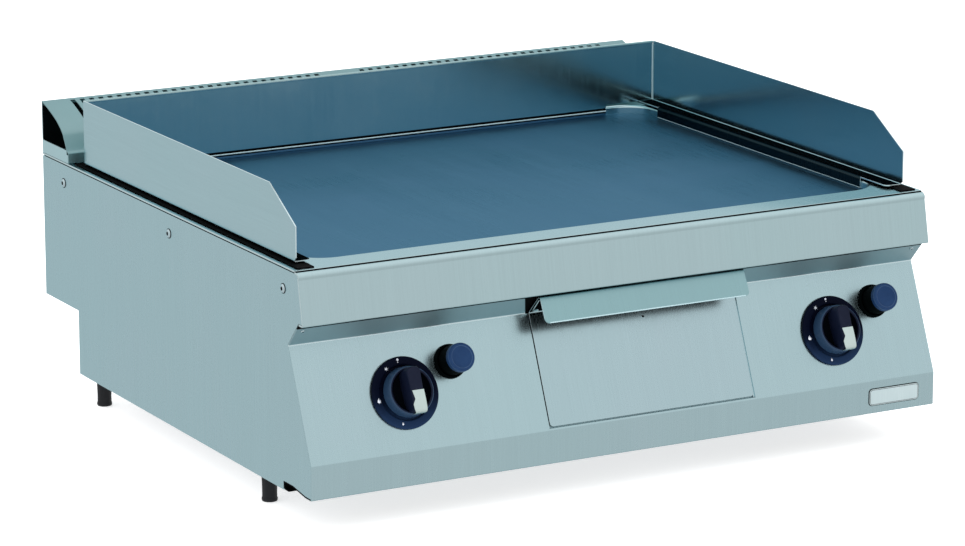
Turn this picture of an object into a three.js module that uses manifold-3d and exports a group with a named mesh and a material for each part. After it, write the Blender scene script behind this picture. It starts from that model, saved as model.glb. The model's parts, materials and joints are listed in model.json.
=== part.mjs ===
// Countertop gas griddle with a flat recessed plate, three-sided splash guard, sloping control
// panel, grease drawer and a rear flue hood.  Millimetres, +Z up, front towards -Y, left is -X.
// The pieces are drawn in a working frame: x = 0 on the centre line, y = 0 on the lower front
// band, z = 0 on the worktop surface.  The last step moves the group so that the origin is the
// centre of the footprint, on the surface that the feet stand on.
import * as THREE from 'three';
import { mergeVertices } from 'three/addons/utils/BufferGeometryUtils.js';
import Module from 'manifold-3d';

const wasm = await Module();
wasm.setup();

// ---------------------------------------------------------------- driving dimensions
const HALF_W = 400;          // half of the body width
const REAR_Y = 707;          // rear face
const T_SHEET = 1.5;         // casing sheet
const T_TOP = 2;             // worktop sheet
const GAP = 0.3;             // clearance between touching pieces
const BODY_BOTTOM = -250;    // underside of the side panels
const FOOT_BOTTOM = -288;    // surface the feet stand on
const FRONT_BOTTOM = -246;   // underside of the lower front band
const NOTCH_Y = 611;         // front of the rear service recess
const NOTCH_Z = -173;        // top of the rear service recess
const NOSE_Y = 31.2, NOSE_R = 5;            // rounded front edge of the worktop
const BAND_Y = 16.5, BAND_Z = -58.8;        // lower edge of the worktop's front band
const LIP_Y = 26.7;                         // rear end of the lip below the band
const VEE_Y = 51.1, VEE_Z = -85.8;          // inner line of the finger recess
const FOLD_Z = -207.5;                      // fold between the sloping panel and the band below
const WELL_X = 369.5, WELL_Y0 = 71.5, WELL_Y1 = 612.8, WELL_R = 38;  // recessed well in the worktop
const PLATE_Z = -10, PLATE_T = 12;          // cooking surface and plate thickness
const GUARD_X = 389, GUARD_Y1 = 611, GUARD_TOP = 79;  // splash guard planes and height
const GUARD_FRONT = 54.4, GUARD_BREAK_Y = 117.2, GUARD_CHAMFER_Z = 42.7;
const FLANGE_Z = 4, FLANGE_W = 21, LIP_BOTTOM = -9.3;
const FLUE_Y = 632, FLUE_BOX_Z = 15.8;      // flue base
const KNOB_X = 275, KNOB_S = 64;            // knob axis: across, and up the sloping panel
const BEZEL_R = 40, COLLAR_R = 28, BAR_TOP = 33;
const BUTTON_DX = 61.5, BUTTON_S = 91, BUTTON_R = 16, BUTTON_TOP = 31;
const DRAWER_X0 = -106, DRAWER_X1 = 157;    // drawer front
const TRAY_LEN = 412, TRAY_TOP = -158, TRAY_BOTTOM = -203.7;
const BURNER_X = 175, BURNER_Z = -85, BURNER_R = 17;
const SLOT_W = 6, SLOT_PITCH = 12;          // flue hood slots
const FOOT_X = 376, FOOT_Y = [151, 595], FOOT_R = 9;

// ---------------------------------------------------------------- helpers
const group = new THREE.Group();

const MATS = {
  steel: { color: 0x9fb8bd, roughness: 0.32, metalness: 0.95 },
  polished: { color: 0xc4d2d6, roughness: 0.16, metalness: 1.0 },
  plate: { color: 0x46586a, roughness: 0.38, metalness: 0.9 },
  inner: { color: 0x8b9296, roughness: 0.5, metalness: 0.8 },
  burner: { color: 0x7b7f80, roughness: 0.55, metalness: 0.8 },
  brass: { color: 0xb08d4a, roughness: 0.4, metalness: 0.9 },
  black: { color: 0x191d27, roughness: 0.45, metalness: 0.0 },
  chrome: { color: 0xdde6e4, roughness: 0.15, metalness: 1.0 },
  rubber: { color: 0x141619, roughness: 0.7, metalness: 0.0 },
  ceramic: { color: 0xd9d4c8, roughness: 0.5, metalness: 0.0 },
};

function add(name, geometry, mat, parent = group) {
  const m = new THREE.Mesh(geometry, new THREE.MeshStandardMaterial(MATS[mat]));
  m.name = name;
  parent.add(m);
  return m;
}
function toSolid(geometry) {
  let g = geometry.clone();
  g.deleteAttribute('normal');
  g.deleteAttribute('uv');
  g = mergeVertices(g, 1e-4);
  return new wasm.Manifold(new wasm.Mesh({
    numProp: 3,
    vertProperties: new Float32Array(g.attributes.position.array),
    triVerts: new Uint32Array(g.index.array),
  }));
}
function fromSolid(solid) {
  const m = solid.getMesh();
  const g = new THREE.BufferGeometry();
  g.setAttribute('position', new THREE.BufferAttribute(new Float32Array(m.vertProperties), 3));
  g.setIndex(new THREE.BufferAttribute(new Uint32Array(m.triVerts), 1));
  g.computeVertexNormals();
  return g;
}
function cut(base, ...tools) {
  let s = toSolid(base);
  for (const t of tools) s = s.subtract(toSolid(t));
  return fromSolid(s);
}
function join(base, ...others) {
  let s = toSolid(base);
  for (const t of others) s = s.add(toSolid(t));
  return fromSolid(s);
}
function box(x0, x1, y0, y1, z0, z1) {
  const g = new THREE.BoxGeometry(x1 - x0, y1 - y0, z1 - z0);
  g.translate((x0 + x1) / 2, (y0 + y1) / 2, (z0 + z1) / 2);
  return g;
}
// a (y, z) outline run along X
const YZ_TO_WORLD = new THREE.Matrix4().makeBasis(
  new THREE.Vector3(0, 1, 0), new THREE.Vector3(0, 0, 1), new THREE.Vector3(1, 0, 0));
function prismX(points, x0, x1) {
  const s = new THREE.Shape(points.map((p) => new THREE.Vector2(p[0], p[1])));
  const g = new THREE.ExtrudeGeometry(s, { depth: x1 - x0, bevelEnabled: false, steps: 1 });
  g.applyMatrix4(YZ_TO_WORLD);
  g.translate(x0, 0, 0);
  return g;
}
// an (x, y) outline run along Z
function prismZ(shape, z0, z1, curveSegments = 6) {
  const g = new THREE.ExtrudeGeometry(shape, { depth: z1 - z0, bevelEnabled: false, steps: 1, curveSegments });
  g.translate(0, 0, z0);
  return g;
}
function roundRect(x0, x1, y0, y1, r) {
  const s = new THREE.Shape();
  s.moveTo(x0 + r, y0);
  s.lineTo(x1 - r, y0);
  s.absarc(x1 - r, y0 + r, r, -Math.PI / 2, 0, false);
  s.lineTo(x1, y1 - r);
  s.absarc(x1 - r, y1 - r, r, 0, Math.PI / 2, false);
  s.lineTo(x0 + r, y1);
  s.absarc(x0 + r, y1 - r, r, Math.PI / 2, Math.PI, false);
  s.lineTo(x0, y0 + r);
  s.absarc(x0 + r, y0 + r, r, Math.PI, 1.5 * Math.PI, false);
  return s;
}
// folded sheet: an open line of points given a thickness on its left-hand side
function sheet(points, t) {
  const n = points.length;
  const off = [];
  for (let i = 0; i < n; i++) {
    const a = points[Math.max(i - 1, 0)], b = points[i], c = points[Math.min(i + 1, n - 1)];
    const d1 = norm([b[0] - a[0], b[1] - a[1]]), d2 = norm([c[0] - b[0], c[1] - b[1]]);
    const u = i === 0 ? d2 : d1, v = i === n - 1 ? d1 : d2;
    const n1 = [-u[1], u[0]], n2 = [-v[1], v[0]];
    const m = norm([n1[0] + n2[0], n1[1] + n2[1]]);
    const k = t / (m[0] * n1[0] + m[1] * n1[1]);
    off.push([b[0] + m[0] * k, b[1] + m[1] * k]);
  }
  return points.concat(off.reverse());
}
function norm(v) { const l = Math.hypot(v[0], v[1]) || 1; return [v[0] / l, v[1] / l]; }
function arc(cy, cz, r, a0, a1, n) {
  const out = [];
  for (let i = 0; i <= n; i++) {
    const a = (a0 + (a1 - a0) * i / n) * Math.PI / 180;
    out.push([cy + r * Math.cos(a), cz + r * Math.sin(a)]);
  }
  return out;
}
// lathe about the local Z axis from [radius, height] pairs
function lathe(profile, segments = 32) {
  const g = new THREE.LatheGeometry(profile.map((p) => new THREE.Vector2(p[0], p[1])), segments);
  g.rotateX(Math.PI / 2);
  return g;
}
function rod(x, y, z, r, h, axis, segments = 16) {
  const g = new THREE.CylinderGeometry(r, r, h, segments);
  if (axis === 'x') g.rotateZ(Math.PI / 2);
  if (axis === 'z') g.rotateX(Math.PI / 2);
  g.translate(x, y, z);
  return g;
}
function tube(points, r, sides, steps, tension = 0.5) {
  const path = new THREE.CatmullRomCurve3(points.map((p) => new THREE.Vector3(...p)), false, 'catmullrom', tension);
  const s = new THREE.Shape();
  for (let i = 0; i < sides; i++) {
    const a = 2 * Math.PI * i / sides;
    if (i === 0) s.moveTo(r * Math.cos(a), r * Math.sin(a)); else s.lineTo(r * Math.cos(a), r * Math.sin(a));
  }
  return new THREE.ExtrudeGeometry(s, { steps, bevelEnabled: false, extrudePath: path });
}
// the sloping control panel: local X across, local Y up the slope, local Z straight out of it
const SLOPE = Math.atan2(VEE_Z - FOLD_Z, VEE_Y);
function onPanel(x, s) {
  const g = new THREE.Group();
  g.position.set(x, s * Math.cos(SLOPE), FOLD_Z + s * Math.sin(SLOPE));
  g.rotation.x = SLOPE;
  g.updateMatrix();
  group.add(g);
  return g;
}
function panelTool(geometry, x, s) {
  const g = geometry.clone();
  g.rotateX(SLOPE);
  g.translate(x, s * Math.cos(SLOPE), FOLD_Z + s * Math.sin(SLOPE));
  return g;
}
const SIDES = [['left', -1], ['right', 1]];

// ---------------------------------------------------------------- casing
{
  // the side outline follows the front profile, tucked behind the band and the control panel
  const outline = [
    [31.5, -2.3], [28.9, -5.2], [19.3, -56.5], [27.2, -56.5], [28.0, -57.5], [53.2, -85.4],
    [1.8, -207.9], [1.8, -244.2], [14.5, -244.2], [45, -240], [67.5, -240],
    [67.5, BODY_BOTTOM], [NOTCH_Y, BODY_BOTTOM], [NOTCH_Y, NOTCH_Z], [REAR_Y, NOTCH_Z], [REAR_Y, -2.3],
  ];
  for (const [side, k] of SIDES) {
    const x0 = k < 0 ? -HALF_W : HALF_W - T_SHEET;
    const holes = [645.6, 351.7, 62.9].map((y) => rod(k * (HALF_W - 1), y, -25.3, 2.6, 8, 'x', 10));
    add('side_panel_' + side, cut(prismX(outline, x0, x0 + T_SHEET), ...holes), 'steel');
    ['rear', 'mid', 'front'].forEach((where, i) => {
      const y = [645.6, 351.7, 62.9][i];
      // dome-head screw: head outside the panel, shank through it
      const g = lathe([[0, -9], [2.2, -9], [2.2, 0.3], [4.6, 0.3], [3.9, 1.6], [0, 2.3]], 10);
      g.rotateY(k * Math.PI / 2);
      g.translate(k * HALF_W, y, -25.3);
      add(`side_screw_${side}_${where}`, g, 'polished');
    });
  }
}
const INNER_X = HALF_W - T_SHEET - GAP;
add('rear_panel', box(-INNER_X, INNER_X, REAR_Y - T_SHEET, REAR_Y, NOTCH_Z, -2.3), 'steel');
const INLET_X = 330, INLET_Z = -228;
add('rear_recess_panel', cut(
  prismX(sheet([[NOTCH_Y, BODY_BOTTOM], [NOTCH_Y, NOTCH_Z], [REAR_Y - T_SHEET - GAP, NOTCH_Z]], T_SHEET), -INNER_X, INNER_X),
  rod(INLET_X, NOTCH_Y, INLET_Z, 12, 12, 'y', 20)), 'steel');
{
  const tools = [];
  for (const k of [-1, 1]) for (const y of FOOT_Y) tools.push(rod(k * FOOT_X, y, -248, 5.8, 8, 'z', 10));
  // combustion air slots under each burner zone
  for (const k of [-1, 1]) for (const row of [0, 1]) for (let i = 0; i < 4; i++) {
    const cx = k * BURNER_X + (row ? 45 : -45), cy = 250 + i * 80;
    tools.push(box(cx - 35, cx + 35, cy - 5, cy + 5, -255, -240));
  }
  add('base_pan', cut(box(-INNER_X, INNER_X, 70, NOTCH_Y - T_SHEET - GAP, -248.5, -247), ...tools), 'steel');
}
{
  // worktop: top sheet, rounded nose, front band and lip, with a recessed well pressed into it
  const line = [[REAR_Y, 0], ...arc(NOSE_Y, -NOSE_R, NOSE_R, 90, 169.8, 5), [BAND_Y, BAND_Z], [LIP_Y, BAND_Z]];
  const top = prismX(sheet(line, T_TOP), -HALF_W, HALF_W);
  const wellIn = prismZ(roundRect(-WELL_X, WELL_X, WELL_Y0, WELL_Y1, WELL_R), -20, 5);
  const wellOut = prismZ(roundRect(-WELL_X - 2, WELL_X + 2, WELL_Y0 - 2, WELL_Y1 + 2, WELL_R + 2), -15, -0.5);
  let s = toSolid(top).add(toSolid(wellOut)).subtract(toSolid(wellIn));
  s = s.subtract(toSolid(box(-304, 304, 637, 702.5, -5, 3)));                 // flue outlet
  s = s.subtract(toSolid(box(-5, 55, WELL_Y0 - 4, WELL_Y0 + 2, -9.5, -4.5))); // grease outlet in the front well wall
  add('worktop', fromSolid(s), 'steel');
}
add('griddle_plate', prismZ(roundRect(-WELL_X + 0.4, WELL_X - 0.4, WELL_Y0 + 0.4, WELL_Y1 - 0.4, WELL_R - 0.4),
  PLATE_Z - PLATE_T, PLATE_Z), 'plate');
{
  const line = [[LIP_Y + 0.7, BAND_Z - 0.7], [VEE_Y, VEE_Z], [0, FOLD_Z], [0, FRONT_BOTTOM], [14, FRONT_BOTTOM]];
  const tools = [];
  for (const k of [-1, 1]) {
    tools.push(panelTool(rod(0, 0, 0, 8, 20, 'z', 20), k * KNOB_X, KNOB_S));
    tools.push(panelTool(rod(0, 0, 0, 13, 20, 'z', 20), k * KNOB_X + BUTTON_DX, BUTTON_S));
  }
  // drawer opening, running up through the sloping recess
  tools.push(panelTool(box(DRAWER_X0 - 1.5, DRAWER_X1 + 1.5, 2.2, 190, -60, 30), 0, 0));
  add('control_panel', cut(prismX(sheet(line, T_SHEET), -HALF_W, HALF_W), ...tools), 'steel');
}
add('rating_plate', prismZ(roundRect(-33.5, 33.5, -9.5, 9.5, 4), 0, 0.9, 3)
  .rotateX(Math.PI / 2).translate(345, -GAP, -226.5), 'polished');

// ---------------------------------------------------------------- flue
add('flue_base_frame', cut(box(-HALF_W, HALF_W, FLUE_Y, REAR_Y, GAP, FLUE_BOX_Z),
  box(-HALF_W + 1.5, HALF_W - 1.5, FLUE_Y + 1.5, REAR_Y - 1.5, -5, 30),
  box(-HALF_W - 1, HALF_W + 1, FLUE_Y - 1, FLUE_Y + 4, 10.5, 30)), 'steel');
{
  const hoodLine = [[705.0, 62.6], [686, 56.8], [665, 48.2], [647.1, 36.2],
    [641.2, 27.9], [636.5, 20], [631.6, 14.5], [629.8, 12.5], [629.8, 1.2]];
  const tools = [];
  for (const [a, b] of [[-366, -26], [20, 366]]) {
    for (let x = a; x + SLOT_W <= b; x += SLOT_PITCH) tools.push(box(x, x + SLOT_W, 649, 700.5, 15, 90));
  }
  let blades = toSolid(tools[0]);
  for (const t of tools.slice(1)) blades = blades.add(toSolid(t));
  const hood = toSolid(prismX(sheet(hoodLine, 1.5), -HALF_W, HALF_W)).subtract(blades);
  add('flue_hood', fromSolid(hood), 'steel');
}
add('flue_back_plate', box(-HALF_W, HALF_W, REAR_Y - 1.5, REAR_Y, FLUE_BOX_Z + GAP, 62.4), 'steel');
{
  // flue duct: takes the gases from the combustion box up through the worktop
  let s = toSolid(box(-300, 300, 602, 700, -100, -30)).add(toSolid(box(-300, 300, 640, 700, -31, 14)));
  s = s.subtract(toSolid(box(-298.5, 298.5, 590, 698.5, -98.5, -31.5)));
  s = s.subtract(toSolid(box(-298.5, 298.5, 641.5, 698.5, -40, 30)));
  add('flue_duct', fromSolid(s), 'inner');
}

// ---------------------------------------------------------------- splash guard
for (const [side, k] of SIDES) {
  // upright wall with a chamfered front corner, foot flange turned inwards, lip turned down into the well
  const wall = [[GUARD_FRONT, FLANGE_Z - 1.5], [GUARD_Y1 - 1.8, FLANGE_Z - 1.5], [GUARD_Y1 - 1.8, GUARD_TOP],
    [GUARD_BREAK_Y, GUARD_TOP], [GUARD_FRONT, GUARD_CHAMFER_Z]];
  const x0 = k < 0 ? -GUARD_X : GUARD_X - 1.5;
  const flange = new THREE.Shape([[0, GUARD_FRONT], [FLANGE_W - 6, GUARD_FRONT], [FLANGE_W - 2, GUARD_FRONT + 2],
    [FLANGE_W, GUARD_FRONT + 6], [FLANGE_W, GUARD_Y1 - 1.8], [0, GUARD_Y1 - 1.8]].map((p) => new THREE.Vector2(k < 0 ? -GUARD_X + p[0] : GUARD_X - p[0], p[1])));
  const lx = GUARD_X - FLANGE_W;
  const lip = k < 0 ? box(-lx - 1.5, -lx, 112, 565, LIP_BOTTOM, FLANGE_Z) : box(lx, lx + 1.5, 112, 565, LIP_BOTTOM, FLANGE_Z);
  add('splash_guard_' + side, join(prismX(wall, x0, x0 + 1.5), prismZ(flange, FLANGE_Z - 1.5, FLANGE_Z), lip), 'steel');
}
add('splash_guard_rear', join(box(-GUARD_X, GUARD_X, GUARD_Y1 - 1.5, GUARD_Y1, FLANGE_Z - 1.5, GUARD_TOP),
  box(-320, 320, GUARD_Y1 - 1.5, GUARD_Y1, -8, FLANGE_Z)), 'steel');

// ---------------------------------------------------------------- heating
add('combustion_box', cut(box(-352, 352, 90, 600, -150, -24), box(-350.5, 350.5, 91.5, 598.5, -160, 0),
  box(-296, 296, 590, 610, -96, -34), rod(-BURNER_X + 60, 90, BURNER_Z, 20, 12, 'y', 16), rod(BURNER_X + 60, 90, BURNER_Z, 20, 12, 'y', 16)), 'inner');
for (const [side, k] of SIDES) {
  const c = k * BURNER_X;
  const pts = [[c - 60, 150, BURNER_Z], [c - 60, 300, BURNER_Z], [c - 60, 450, BURNER_Z], [c - 42, 520, BURNER_Z],
    [c, 545, BURNER_Z], [c + 42, 520, BURNER_Z], [c + 60, 450, BURNER_Z], [c + 60, 300, BURNER_Z],
    [c + 60, 150, BURNER_Z], [c + 60, 104, BURNER_Z]];
  add('burner_' + side, tube(pts, BURNER_R, 8, 20), 'burner');
}
for (const [where, y] of [['front', 170], ['rear', 420]]) {
  add('burner_rail_' + where, prismX(sheet([[y, -130], [y, -104.5], [y + 25, -104.5]], 2), -349.5, 349.5), 'inner');
}
{
  // gas rail under the drawer with a riser to each valve; it butts against the inlet pipe
  add('gas_manifold', join(rod(0, 80, INLET_Z, 8, 638.4, 'x', 12), rod(-KNOB_X, 80, -210, 7, 36, 'z', 12), rod(KNOB_X, 80, -210, 7, 36, 'z', 12)), 'brass');
  add('gas_inlet_pipe', join(rod(INLET_X, 354, INLET_Z, 10.4, 576, 'y', 16), rod(INLET_X, 604, INLET_Z, 17, 8, 'y', 6)), 'brass');
}
for (const [side, k] of SIDES) {
  const p = onPanel(k * KNOB_X, KNOB_S);
  // valve body behind the panel with a square flange, hollow along the stem
  add('gas_valve_' + side, cut(join(rod(0, 0, -16, 15, 26, 'z', 20), box(-14, 14, -14, 14, -52, -26), box(-20, 20, -20, 20, -5.2, -2.2)),
    rod(0, 0, -10, 4.6, 45, 'z', 16)), 'brass', p);
  add('valve_stem_' + side, lathe([[0, -27], [4.1, -27], [4.1, 20.5], [0, 20.5]], 16), 'polished', p);
  add('knob_bezel_' + side, lathe([[30, 0.3], [BEZEL_R - 0.6, 0.3], [BEZEL_R, 3.0], [BEZEL_R - 1.6, 4.4],
    [30, 4.4], [30, 0.3]], 32), 'black', p);
  // knob: round collar with a raised grip bar; a bright insert fills the lower half of the bar's face
  const collar = lathe([[0, 5.2], [27.2, 5.2], [COLLAR_R, 6.2], [26.6, 18.2], [24.4, 20], [0, 20]], 36);
  const grip = new THREE.Shape();
  grip.moveTo(-7.2, -20); grip.quadraticCurveTo(-6.8, -25.2, 0, -25.2); grip.quadraticCurveTo(6.8, -25.2, 7.2, -20);
  grip.lineTo(8.6, 20); grip.quadraticCurveTo(8, 24.8, 0, 24.8); grip.quadraticCurveTo(-8, 24.8, -8.6, 20);
  const bar = new THREE.ExtrudeGeometry(grip, { depth: 15.4, bevelEnabled: true, bevelThickness: 0.8, bevelSize: 0.8, bevelOffset: -0.8, bevelSegments: 1, curveSegments: 4 });
  bar.translate(0, 0, BAR_TOP - 0.8 - 15.4);
  add('control_knob_' + side, cut(join(collar, bar), rod(0, 0, 12, 4.6, 20, 'z', 16), box(-6.3, 6.3, -30, 0.3, 28.7, 40)), 'black', p);
  add('knob_insert_' + side, join(box(-6, 6, -24.4, 0, 29, BAR_TOP + 0.2), box(-6, 6, -26.4, -25.6, 23, BAR_TOP + 0.2), box(-6, 6, -26.4, -24.2, 29.0, BAR_TOP + 0.2)), 'chrome', p);

  const b = onPanel(k * KNOB_X + BUTTON_DX, BUTTON_S);
  add('piezo_igniter_' + side, lathe([[0, -44], [8, -44], [8, -38], [11.6, -38], [11.6, -6], [17, -6], [17, -2.2],
    [11.8, -2.2], [11.8, 20], [0, 20]], 16), 'black', b);
  add('igniter_collar_' + side, lathe([[16.9, 0.3], [19.2, 0.3], [18.4, 5], [16.9, 5], [16.9, 0.3]], 24), 'black', b);
  add('igniter_button_' + side, lathe([[13.2, 6], [16.3, 6], [BUTTON_R, 28.6], [14.8, BUTTON_TOP - 0.6], [12.6, BUTTON_TOP], [0, BUTTON_TOP],
    [0, 27], [13.2, 27], [13.2, 6]], 24), 'rubber', b);

  // feed from the back of the valve to the burner's mixing tube
  const bx = k * BURNER_X + 60;
  const route = k < 0
    ? [[-275, 79.5, -172], [-252, 83, -173.5], [-190, 83, -168], [-140, 83, -130], [bx, 84, -98], [bx, 90, -86], [bx, 102, BURNER_Z]]
    : [[275, 79.5, -172], [267, 83.4, -166], [250, 83.6, -130], [bx, 84, -98], [bx, 90, -86], [bx, 102, BURNER_Z]];
  add('gas_feed_' + side, tube(route, 5, 6, 14), 'brass');
  add('spark_electrode_' + side, join(rod(k * BURNER_X, 220, -96, 4, 46, 'z', 10), rod(k * BURNER_X, 220, -66, 1.4, 26, 'z', 8)), 'ceramic');
  add('thermocouple_' + side, join(rod(k * BURNER_X + 24, 220, -82, 3, 50, 'z', 10), rod(k * BURNER_X + 24, 220, -112, 5, 14, 'z', 6)), 'brass');
}

// ---------------------------------------------------------------- grease drawer
{
  // folded front: sloping face, up the recess, then a flap turned down in front as the handle
  const line = [[14, -90.5], [28.2, -63.2], [VEE_Y - 0.1, VEE_Z - 0.2], [1.9, -203.4]];
  const face = prismX(sheet(line.slice().reverse(), 1.2).map((p) => p), DRAWER_X0, DRAWER_X1);
  const gusset = [[22.6, -75.6], [28.2, -65.4], [38.2, -75.6]];
  const gl = prismX(gusset, DRAWER_X0, DRAWER_X0 + 1.2), gr = prismX(gusset, DRAWER_X1 - 1.2, DRAWER_X1);
  add('drawer_front', join(face, gl, gr), 'steel');
  const outer = [[8.2, TRAY_BOTTOM], [25.8, TRAY_TOP], [TRAY_LEN, TRAY_TOP], [TRAY_LEN, TRAY_BOTTOM]];
  const inner = [[11.2, TRAY_BOTTOM + 1.2], [31.2, TRAY_TOP + 5], [TRAY_LEN - 1.2, TRAY_TOP + 5], [TRAY_LEN - 1.2, TRAY_BOTTOM + 1.2]];
  add('drawer_tray', cut(prismX(outer, DRAWER_X0 + 6, DRAWER_X1 - 6), prismX(inner, DRAWER_X0 + 7.2, DRAWER_X1 - 7.2)), 'inner');
}
for (const [side, k] of SIDES) {
  // angle runner beside and under the tray
  const g = k < 0
    ? join(box(DRAWER_X0 + 2.4, DRAWER_X0 + 3.9, 22, 440, -206, -172), box(DRAWER_X0 + 2.4, DRAWER_X0 + 16, 14, 440, -206, -204.6))
    : join(box(DRAWER_X1 - 3.9, DRAWER_X1 - 2.4, 22, 440, -206, -172), box(DRAWER_X1 - 16, DRAWER_X1 - 2.4, 14, 440, -206, -204.6));
  add('drawer_runner_' + side, g, 'inner');
}
add('grease_chute', cut(box(-12, 62, 55.5, 69.1, -150, -3.2), box(-10.8, 60.8, 56.7, 67.9, -160, 0), box(-6, 56, 66, 72, -10.5, -4)), 'inner');

// ---------------------------------------------------------------- feet
for (const [side, k] of SIDES) {
  FOOT_Y.forEach((y, i) => {
    // flared plastic leg with a threaded rod that screws into the base
    const g = lathe([[0, FOOT_BOTTOM], [FOOT_R - 0.6, FOOT_BOTTOM], [FOOT_R, FOOT_BOTTOM + 1.2], [FOOT_R - 0.6, FOOT_BOTTOM + 12],
      [FOOT_R + 0.4, -249.2], [5, -249.2], [5, -224], [0, -224]], 14);
    g.translate(k * FOOT_X, y, 0);
    add(`foot_${side}_${i === 0 ? 'front' : 'rear'}`, g, 'rubber');
  });
}

// ---------------------------------------------------------------- origin
group.updateMatrixWorld(true);
const bounds = new THREE.Box3().setFromObject(group, true);
group.position.set(-(bounds.min.x + bounds.max.x) / 2, -(bounds.min.y + bounds.max.y) / 2, -bounds.min.z);
group.updateMatrixWorld(true);

export default group;
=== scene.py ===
import bpy, bmesh, json, math, random
from mathutils import Vector, Matrix
from mathutils.geometry import delaunay_2d_cdt

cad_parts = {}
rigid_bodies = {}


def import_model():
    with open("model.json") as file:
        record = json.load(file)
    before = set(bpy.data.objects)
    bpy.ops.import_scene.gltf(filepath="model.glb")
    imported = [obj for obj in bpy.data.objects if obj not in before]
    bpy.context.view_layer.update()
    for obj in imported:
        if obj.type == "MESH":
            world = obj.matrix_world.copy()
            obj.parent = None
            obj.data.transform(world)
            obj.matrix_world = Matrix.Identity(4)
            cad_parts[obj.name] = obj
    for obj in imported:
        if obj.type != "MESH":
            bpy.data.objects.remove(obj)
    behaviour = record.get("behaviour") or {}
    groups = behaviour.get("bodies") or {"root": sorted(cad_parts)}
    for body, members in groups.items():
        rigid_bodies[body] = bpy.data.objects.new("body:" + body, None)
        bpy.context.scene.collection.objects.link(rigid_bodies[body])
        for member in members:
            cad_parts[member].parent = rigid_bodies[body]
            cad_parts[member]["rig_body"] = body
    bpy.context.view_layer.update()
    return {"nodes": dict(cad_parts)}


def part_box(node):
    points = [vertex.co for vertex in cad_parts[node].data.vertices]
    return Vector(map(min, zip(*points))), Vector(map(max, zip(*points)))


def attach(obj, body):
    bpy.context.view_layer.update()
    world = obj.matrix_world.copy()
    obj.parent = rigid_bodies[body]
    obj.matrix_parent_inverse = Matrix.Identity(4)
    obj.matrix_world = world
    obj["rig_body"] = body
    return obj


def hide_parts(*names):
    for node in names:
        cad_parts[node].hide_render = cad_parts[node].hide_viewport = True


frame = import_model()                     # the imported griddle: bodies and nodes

random.seed(7)
scene = bpy.context.scene
scene.view_settings.view_transform = "Standard"
scene.view_settings.look = "None"

# The drawing frame used below: millimetres, y = 0 on the front face of the lower band, z = 0 on the worktop.
Y0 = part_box("control_panel")[0].y
Z0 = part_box("worktop")[1].z


def P(x, y, z):
    return Vector((x / 1000, Y0 + y / 1000, Z0 + z / 1000))


HALF_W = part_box("worktop")[1].x * 1000
REAR_Y = (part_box("worktop")[1].y - Y0) * 1000
BAND_Y, BAND_Z, LIP_Y = 16.5, -58.8, 26.7
VEE_Y, VEE_Z, FOLD_Z, FRONT_BOTTOM = 51.1, -85.8, -207.5, -246.0
SLOPE = math.atan2(VEE_Z - FOLD_Z, VEE_Y)
CS, SN = math.cos(SLOPE), math.sin(SLOPE)
WELL_X, WELL_Y0, WELL_Y1, WELL_R = 369.5, 71.5, 612.8, 38.0
GUARD_X, GUARD_TOP = 389.0, 79.0
KNOB_X, KNOB_S, BUTTON_DX, BUTTON_S = 275.0, 64.0, 61.5, 91.0
DX0, DX1 = -106.0, 157.0
SIDES = (("left", -1), ("right", 1))


# ------------------------------------------------------------------ materials
class Nodes:
    """A short way to write a node tree."""

    def __init__(self, tree):
        self.t = tree
        tree.nodes.clear()

    def add(self, kind, **kw):
        n = self.t.nodes.new(kind)
        for k, v in kw.items():
            setattr(n, k, v)
        return n

    def put(self, node, **values):
        for k, v in values.items():
            s = node.inputs[int(k[1:])] if k[0] == "i" and k[1:].isdigit() else node.inputs[k.replace("_", " ")]
            if isinstance(v, bpy.types.NodeSocket):
                self.t.links.new(v, s)
            else:
                s.default_value = v
        return node

    def coords(self, scale, kind="Object", loc=(0, 0, 0), rot=(0, 0, 0)):
        tc = self.add("ShaderNodeTexCoord")
        mp = self.add("ShaderNodeMapping")
        self.t.links.new(tc.outputs[kind], mp.inputs[0])
        mp.inputs["Scale"].default_value = scale
        mp.inputs["Location"].default_value = loc
        mp.inputs["Rotation"].default_value = rot
        return mp.outputs[0]

    def noise(self, vec, scale=1.0, detail=3.0, rough=0.55, dist=0.0):
        n = self.add("ShaderNodeTexNoise")
        self.t.links.new(vec, n.inputs["Vector"])
        self.put(n, Scale=scale, Detail=detail, Roughness=rough, Distortion=dist)
        return n.outputs["Fac"]

    def range(self, v, a, b, c, d, smooth=False):
        n = self.add("ShaderNodeMapRange")
        if smooth:
            n.interpolation_type = "SMOOTHSTEP"
        self.put(n, i0=v, i1=a, i2=b, i3=c, i4=d)
        return n.outputs[0]

    def math(self, op, a, b=0.0):
        n = self.add("ShaderNodeMath", operation=op)
        self.put(n, i0=a, i1=b)
        return n.outputs[0]

    def mix(self, fac, a, b, blend="MIX"):
        n = self.add("ShaderNodeMix", data_type="RGBA", blend_type=blend)
        n.clamp_factor = True
        for i, v in ((0, fac), (6, a), (7, b)):
            if isinstance(v, bpy.types.NodeSocket):
                self.t.links.new(v, n.inputs[i])
            else:
                n.inputs[i].default_value = v if i == 0 else (*v, 1.0)
        return n.outputs[2]

    def ramp(self, fac, stops, mode="EASE"):
        n = self.add("ShaderNodeValToRGB")
        n.color_ramp.interpolation = mode
        els = n.color_ramp.elements
        while len(els) < len(stops):
            els.new(0.5)
        for e, (p, c) in zip(els, stops):
            e.position = p
            e.color = (*c, 1.0)
        self.t.links.new(fac, n.inputs[0])
        return n.outputs[0]

    def bump(self, height, strength, dist, normal=None):
        n = self.add("ShaderNodeBump")
        self.put(n, Strength=strength, Distance=dist)
        self.t.links.new(height, n.inputs["Height"])
        if normal is not None:
            self.t.links.new(normal, n.inputs["Normal"])
        return n.outputs[0]


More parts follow.
